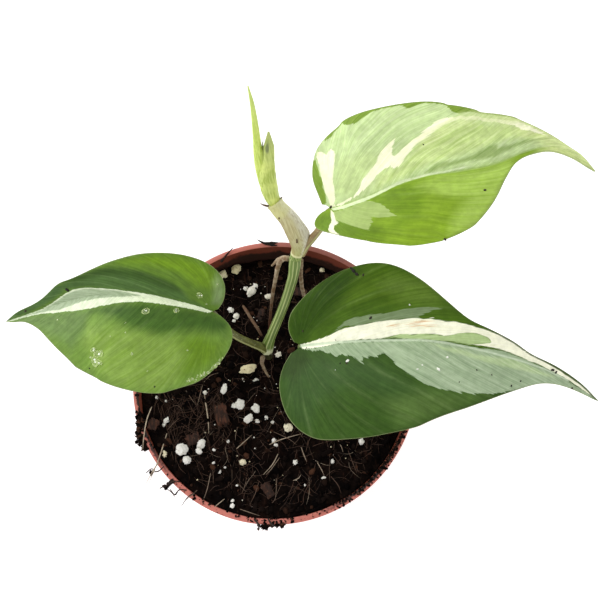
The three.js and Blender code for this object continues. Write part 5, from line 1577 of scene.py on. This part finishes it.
# %% Places of the grains
GRAINS = [
    ((-37, -21), (2.2, 2.0, 1.9), 20, 0.95), ((-35.6, -25.1), (1.4, 1.5, 1.3), 0, 0.9),
    ((-30, -19.9), (1.9, 1.4, 1.4), 60, 0.95), ((-14.4, -7.4), (1.7, 1.9, 1.5), 10, 0.9),
    ((-11.9, -13.2), (2.0, 1.3, 1.3), 40, 0.92), ((-9.9, 5.4), (3.0, 1.7, 1.5), 5, 0.1),
    ((-19.6, -0.8), (1.9, 1.1, 1.1), 65, 0.85), ((2.1, -18.7), (1.7, 1.5, 1.3), -20, 0.35),
    ((-9.2, 46.2), (2.0, 1.8, 1.5), 30, 0.15), ((-4.5, 36.1), (2.1, 1.6, 1.5), 50, 0.6),
]
SMALL_GRAINS = [
    (-31, -22.5, 1.1, 0.9), (-41.7, -9.4, 1.2, 0.9), (-42.8, -10.9, 0.8, 0.9), (-43.2, -21.7, 1.0, 0.3),
    (-26.8, -1.1, 0.8, 0.6), (-44.7, -0.3, 0.6, 0.8), (-41.4, -2.2, 0.5, 0.8), (-8.8, -9.8, 1.5, 0.9),
    (-16.6, -7.6, 0.9, 0.85), (-8.9, -14.6, 0.8, 0.9), (-3.7, -22.6, 0.9, 0.9), (-3.2, -24.4, 0.7, 0.85),
    (-15.9, -28.6, 1.1, 0.3), (-21, -43.3, 0.9, 0.75), (-20.8, -41.6, 0.6, 0.7), (27.8, -28, 1.0, 0.9),
    (16.3, -33.3, 0.8, 0.85), (12.2, -38.7, 0.8, 0.9), (2.8, -31.6, 0.8, 0.9), (-14.7, 44.8, 1.6, 0.25),
    (-6.6, 37.6, 1.0, 0.8), (-2.7, 37.8, 1.1, 0.85), (1.7, 33.1, 1.2, 0.5), (2.3, 9.2, 1.1, 0.5),
    (-11.4, 26.9, 1.3, 0.6), (-13.4, 29.7, 1.2, 0.8), (-12.6, 25.2, 0.7, 0.7), (24.2, 40.5, 1.0, 0.3),
    (-26.4, -27.4, 0.6, 0.9), (-24.6, -30.8, 0.7, 0.9), (-22.5, -29.6, 0.4, 0.9), (-20.4, -20.5, 0.6, 0.7),
    (-25.6, -22.8, 0.6, 0.8), (-5.4, -13.6, 0.7, 0.85), (-3.4, -15.8, 0.6, 0.9),
    (-12.2, 1.6, 0.8, 0.6), (-7.4, 0.8, 0.9, 0.7), (5.2, -40.2, 0.5, 0.8), (-18.8, -36.6, 0.4, 0.8),
]
print("grains:", len(GRAINS), "large and", len(SMALL_GRAINS), "small")

# %% [markdown]
# The ten large grains are solids in the frame too, and this piece stands for those. The small grains and
# a seeded dust between them make a second piece.

# %% Perlite
DUST = 90
perlite = Finish("perlite", roughness=0.85, gloss=0.35)
tone = perlite.stored("tone")
pitted = perlite.noise(perlite.place(), 900, 4, 0.6)
shade = perlite.mix(perlite.step(tone, 0.1, 0.75), tint(228, 216, 176), tint(236, 233, 225))
pits = perlite.times(perlite.step(pitted, 0.55, 0.7), perlite.step(tone, 0.1, 0.6, 0.85, 0.4))
shade = perlite.mix(pits, shade, tint(148, 118, 78))
perlite.bump(pitted, 0.25, 0.8)
perlite.paint(shade)

rng = random.Random(5)
bm = bmesh.new()
limb_layers(bm)
for (x, y), half, turn, tone in GRAINS:
    centre = (x, y, soil_level(x, y) + half[2] * 0.6)
    place_lump(bm, centre, half, math.radians(turn), 0.3, 4, tone, rng)
keep("perlite_grains", bm, [perlite.material], [f"grain_{k}" for k in range(1, 11)])

heap = Scatter()
for x, y, size, tone in SMALL_GRAINS:
    centre = (x, y, soil_height(x, y) + size * 0.45)
    half = (size * rng.uniform(0.85, 1.2), size * rng.uniform(0.75, 1), size * 0.85)
    heap.add(place_lump, centre, half, rng.uniform(0, 6), 0.5, 3, tone, rng)
for _ in range(DUST):
    x, y = place_on_disc(47)
    size = rng.uniform(0.15, 0.38)
    spot = (x, y, soil_height(x, y) + size)
    heap.add(place_lump, spot, (size, size * 0.8, size * 0.8), 0, 0.4, 1, rng.random(), rng)
keep("perlite_dust", heap.heap, [perlite.material])

# %% [markdown]
# ## Bark and flakes
# A few flat chips of composted bark lie in the peat, a dark flake sticks to the rim at the left and torn
# scraps hang on it at the back. A chip is a cube with bevelled edges, subdivided and then roughened, so
# its layers split at the ends. Sculpting would do it too, but not the same way twice.

# %% Bark places and finish
CHIPS = [
    ((-21.8, -10, 0.3), (2.3, 3.9, 0.8), 8, 0.85), ((-32.8, -17.7, 0.5), (2.4, 1.8, 0.8), 20, 0.55),
    ((-46.2, -10.5, 1.4), (1.9, 1.6, 0.8), 60, 0.7), ((14, 33, 0.4), (2.8, 1.5, 0.7), -30, 0.4),
    ((-2, 26, 0.4), (2.2, 1.2, 0.6), 70, 0.35), ((30, -18, 0.5), (2.4, 1.6, 0.8), 35, 0.3),
    ((-8, -40, 0.6), (2.6, 1.4, 0.7), 110, 0.35), ((-36, 12, 0.5), (2.1, 1.4, 0.7), 15, 0.4),
]
FLAKES = [((-41.9, -32.2, 82.3), (1.4, 0.7, 0.3), 30, 0.05)]
TORN_SCRAPS = [
    ([(1.2, 53, 84.6), (3.4, 51.8, 83), (6.2, 51.2, 82.7), (8.8, 51.3, 82.5)],
     [0.1, (0.55, 0.3), (0.85, 0.35), 0.15]),
    ([(4.6, 51.6, 82.7), (6.4, 50.6, 82.6), (8.4, 50.2, 82.3)], [0.2, (0.55, 0.3), 0.12]),
    ([(-8.4, 52, 82.9), (-11, 49.9, 82.6), (-14, 47.2, 82.2)], [0.1, (0.35, 0.25), (0.5, 0.3)]),
]

bark_skin = Finish("bark", roughness=0.85, gloss=0.3)
tone = bark_skin.stored("tone")
layered = bark_skin.noise(bark_skin.place((1, 0.2, 1)), 900, 4)
shade = bark_skin.mix(tone, tint(12, 7, 5), tint(88, 52, 36))
shade = bark_skin.coat(shade, layered, 0.42, 0.6, 0.8, tint(26, 17, 12))
flecks = bark_skin.noise(bark_skin.place(), 1400, 3)
shade = bark_skin.coat(shade, flecks, 0.6, 0.72, 0.6, tint(112, 74, 52))
bark_skin.bump(layered, 0.3, 0.8)
bark_skin.paint(shade)
print("bark nodes:", len(bark_skin.tree.nodes))

# %% [markdown]
# Each chip is made in a mesh of its own, so that the operators find only its own edges. The torn scraps
# over the rim are short flattened limbs with the roots' knobbly relief.

# %% Bark chips
def place_chip(bm, base, half, turn, tone, rng):
    """A bevelled block, roughened all over and torn at its ends."""
    bmesh.ops.create_cube(bm, size=2)
    bmesh.ops.bevel(bm, geom=bm.edges[:], offset=0.3, offset_type="OFFSET", segments=2, profile=0.5,
                    affect="EDGES", material=-1)
    bmesh.ops.subdivide_edges(bm, edges=bm.edges[:], cuts=4, use_grid_fill=True)
    swing = Matrix.Rotation(math.radians(turn), 3, "Z") @ Matrix.Rotation(rng.uniform(-0.2, 0.2), 3, "X")
    shade = bm.verts.layers.float["tone"]
    for vert in bm.verts:
        x, y, z = vert.co
        rough = 1 + 0.35 * noise.noise(vert.co * 1.9 + base)
        torn = 1 + 0.5 * noise.noise((x * 4, y * 0.4, z * 4 + base.x))
        block = Vector((x * half[0], y * half[1] * torn, z * half[2] * 1.2))
        vert.co = (base + swing @ block * rough) * MM
        vert[shade] = tone


rng = random.Random(31)
heap = Scatter()
for (x, y, z), half, turn, tone in CHIPS:
    heap.add(place_chip, Vector((x, y, z + soil_level(x, y))), half, turn, tone, rng)
for place, half, turn, tone in FLAKES:
    heap.add(place_chip, Vector(place), half, turn, tone, rng)
for line, sizes in TORN_SCRAPS:
    heap.add(grow_limb, line, sizes, sides=10, steps=18, relief=root_relief, tone=0.02)
keep("bark_chips", heap.heap, [bark_skin.material])

# %% [markdown]
# ## Water and dirt on the leaves
# The left leaf was just watered: a few flat drops stand on it and a thin line of water hangs on its rim.
# Bits of peat lie on all three leaves. Each is a flattened lump set on the blade's own surface, so one
# helper turns leaf millimetres into a place and sets a lump there. A lump's stored tone is given, or, for
# water, it is how near a corner is to the edge of the drop.

# %% Set a bead on a leaf
def on_leaf(name, x, y, lift=0.0):
    leaf = LEAVES[name]
    x, y = np.array([float(x)]), np.array([float(y)])
    normal = blade_normal(leaf, x, y)[0]
    return Vector(blade_place(leaf, x, y)[0] + normal * lift), Vector(normal)


def place_bead(bm, name, x, y, half, detail, tone, rng, dent):
    made = bmesh.ops.create_icosphere(bm, subdivisions=detail, radius=1)["verts"]
    spot, normal = on_leaf(name, x, y, half[2] * 0.25)
    frame_turn = normal.to_track_quat("Z", "X").to_matrix()
    turn = frame_turn @ Matrix.Rotation(rng.uniform(0, 6.3), 3, "Z")
    for vert in made:
        push = 1 + dent * noise.noise(vert.co * 2 + spot)
        height = vert.co.z
        vert.co = (spot + turn @ Vector([c * h * push for c, h in zip(vert.co, half)])) * MM
        vert[bm.verts.layers.float["tone"]] = 1 - max(0, height) if tone is None else tone


print("a drop on the left leaf sits at", on_leaf("leaf_left", 22, 4.4)[0].to_tuple(1))

# %% [markdown]
# Water shows by its bright edge and a glint, and is clear between them. True refraction through a thin
# bead costs much render time and gives noise, so the bright edge is painted: the finish is mostly
# transparent, greener and more solid towards the edge. The glints are painted highlights, tiny beads of
# their own with a faint glow.

# %% Water finishes
water = Finish("water", roughness=0.08, gloss=0.7)
edge = water.stored("tone")
ripple = water.noise(water.place(), 900, 2)
water.bump(ripple, 0.03, 0.4)
# painted bright edge: a drop is more solid and greener towards its rim, in place of refraction
water.feed(water.shader.inputs["Alpha"], water.step(edge, 0.25, 0.9, 0.16, 0.7))
water.paint(water.mix(water.times(edge, ripple), tint(236, 248, 190), tint(184, 216, 84)))
# painted highlight: the glints are white beads that glow a little
glint = Finish("water_glint", roughness=0.2, gloss=0.8)
glint.shader.inputs["Emission Color"].default_value = (1, 1, 1, 1)
glint.shader.inputs["Emission Strength"].default_value = 0.25
glint.paint(glint.mix(glint.noise(glint.place(), 2500, 2), tint(236, 244, 220), tint(255, 255, 255)),
            glint.step(glint.noise(glint.place(), 900, 2), 0.3, 0.7, 0.15, 0.3))
glint.bump(glint.noise(glint.place(), 1800, 2), 0.02, 0.4)
print("water nodes:", len(water.tree.nodes))

# %% [markdown]
# The drops lie where the real ones lie, and a row of small beads follows the rim where water hangs. Each
# drop carries one glint, a painted highlight, and a larger one two.

# %% Water drops
rng = random.Random(3)
bm = bmesh.new()
limb_layers(bm)
DROPS = [(22, 4.4, 1.3), (12, 2.4, 1.0), (6, -5.2, 1.1), (24.5, 19, 0.6), (27.5, 12.4, 0.4),
         (56.5, 5.8, 0.45), (38, 20, 1.7), (41, 18.6, 1.2), (40.6, 22.4, 1.8), (37.6, 22.8, 1.3),
         (36.8, 19.2, 0.7), (43, 21, 0.7), (1.5, -10.8, 0.4), (3, -2.6, 0.4), (5, 14.6, 0.35),
         (28, 9, 0.25), (33, 14, 0.25), (18, 24, 0.3)]
wet_rim = [(-7.1, 14.4), (-5.6, 17.2), (-3.4, 20.1), (-0.8, 22.6), (2.2, 24.8)]
for x, y in smooth_line(wet_rim, np.linspace(0, 1, 30)):
    DROPS.append((float(x) + rng.gauss(0, 0.25), float(y) + rng.gauss(0, 0.3), rng.uniform(0.25, 0.6)))
for x, y, size in DROPS:
    half = (size, size * rng.uniform(0.55, 0.9), size * 0.3)
    place_bead(bm, "leaf_left", x, y, half, 3, None, rng, 0.35)
    for _ in range(2 if size > 0.7 else 1):
        before = len(bm.faces)
        shine = size * rng.uniform(0.14, 0.24)
        place_bead(bm, "leaf_left", x + size * rng.uniform(-0.5, 0.4), y + size * rng.uniform(-0.5, 0.3),
                   (shine, shine * 0.7, size * 0.42), 1, 1.0, rng, 0.2)
        bm.faces.ensure_lookup_table()
        for face in bm.faces[before:]:
            face.material_index = 1
keep("water_drops", bm, [water.material, glint.material])

# %% [markdown]
# Specks of peat lie where the real ones lie, each given as a place on its leaf and a size. A few on the
# lower leaf are white grains instead; their tone of 3 tells the finish so.

# %% Specks on the leaves
bm = bmesh.new()
limb_layers(bm)
DIRT = {
    "leaf_left": [(50, -4, 0.7), (70, -1.2, 0.45), (14.5, 29, 0.3), (45, 24.5, 0.25)],
    "leaf_lower": [(2, 4.8, 0.3), (20, 22.6, 0.7), (21, 21.4, 0.6), (23, 21, 0.4), (19.2, 23.6, 0.4),
                   (25, 7.2, 0.45), (73.5, -6.8, 0.3), (63.5, -7.4, 0.25), (53.5, -12, 0.2),
                   (84.5, 0.8, 0.5), (86, 0.6, 0.4), (93.5, -1.8, 0.4), (2.5, -1, 0.25), (13, 0.6, 0.2),
                   (70.5, -9.2, 0.3), (58.5, -7, 0.25), (15, -7.6, 0.25), (17.2, -7.6, 0.3)],
    "leaf_upper": [(0.5, 0, 0.4), (45.5, -8, 0.4), (33.5, -20.8, 0.4), (31.5, 9, 0.2)],
}
for name, spots in DIRT.items():
    for x, y, size in spots:
        place_bead(bm, name, x, y, (size * 1.2, size * 0.7, size * 0.5), 2, rng.uniform(0, 0.5), rng, 0.6)
WHITE_SPECKS = [(17.5, -6.8, 0.6), (39.5, -9.8, 0.35), (46.5, -9.2, 0.6), (49, -4.8, 0.45),
                (13.5, -9.6, 0.25), (37, 11, 0.3), (41, -8.4, 0.3)]
for x, y, size in WHITE_SPECKS:
    place_bead(bm, "leaf_lower", x, y, (size, size * 0.7, size * 0.4), 2, 3.0, rng, 0.6)
speck_skin = Finish("leaf_specks", roughness=0.85)
tone = speck_skin.stored("tone")
shade = speck_skin.mix(speck_skin.step(tone, 0, 0.6), tint(20, 16, 12), tint(58, 42, 28))
shade = speck_skin.mix(speck_skin.step(tone, 1.5, 2.5), shade, tint(240, 240, 230))
speck_skin.bump(speck_skin.noise(speck_skin.place(), 2000, 2), 0.1, 0.8)
speck_skin.paint(shade)
keep("leaf_dirt", bm, [speck_skin.material])
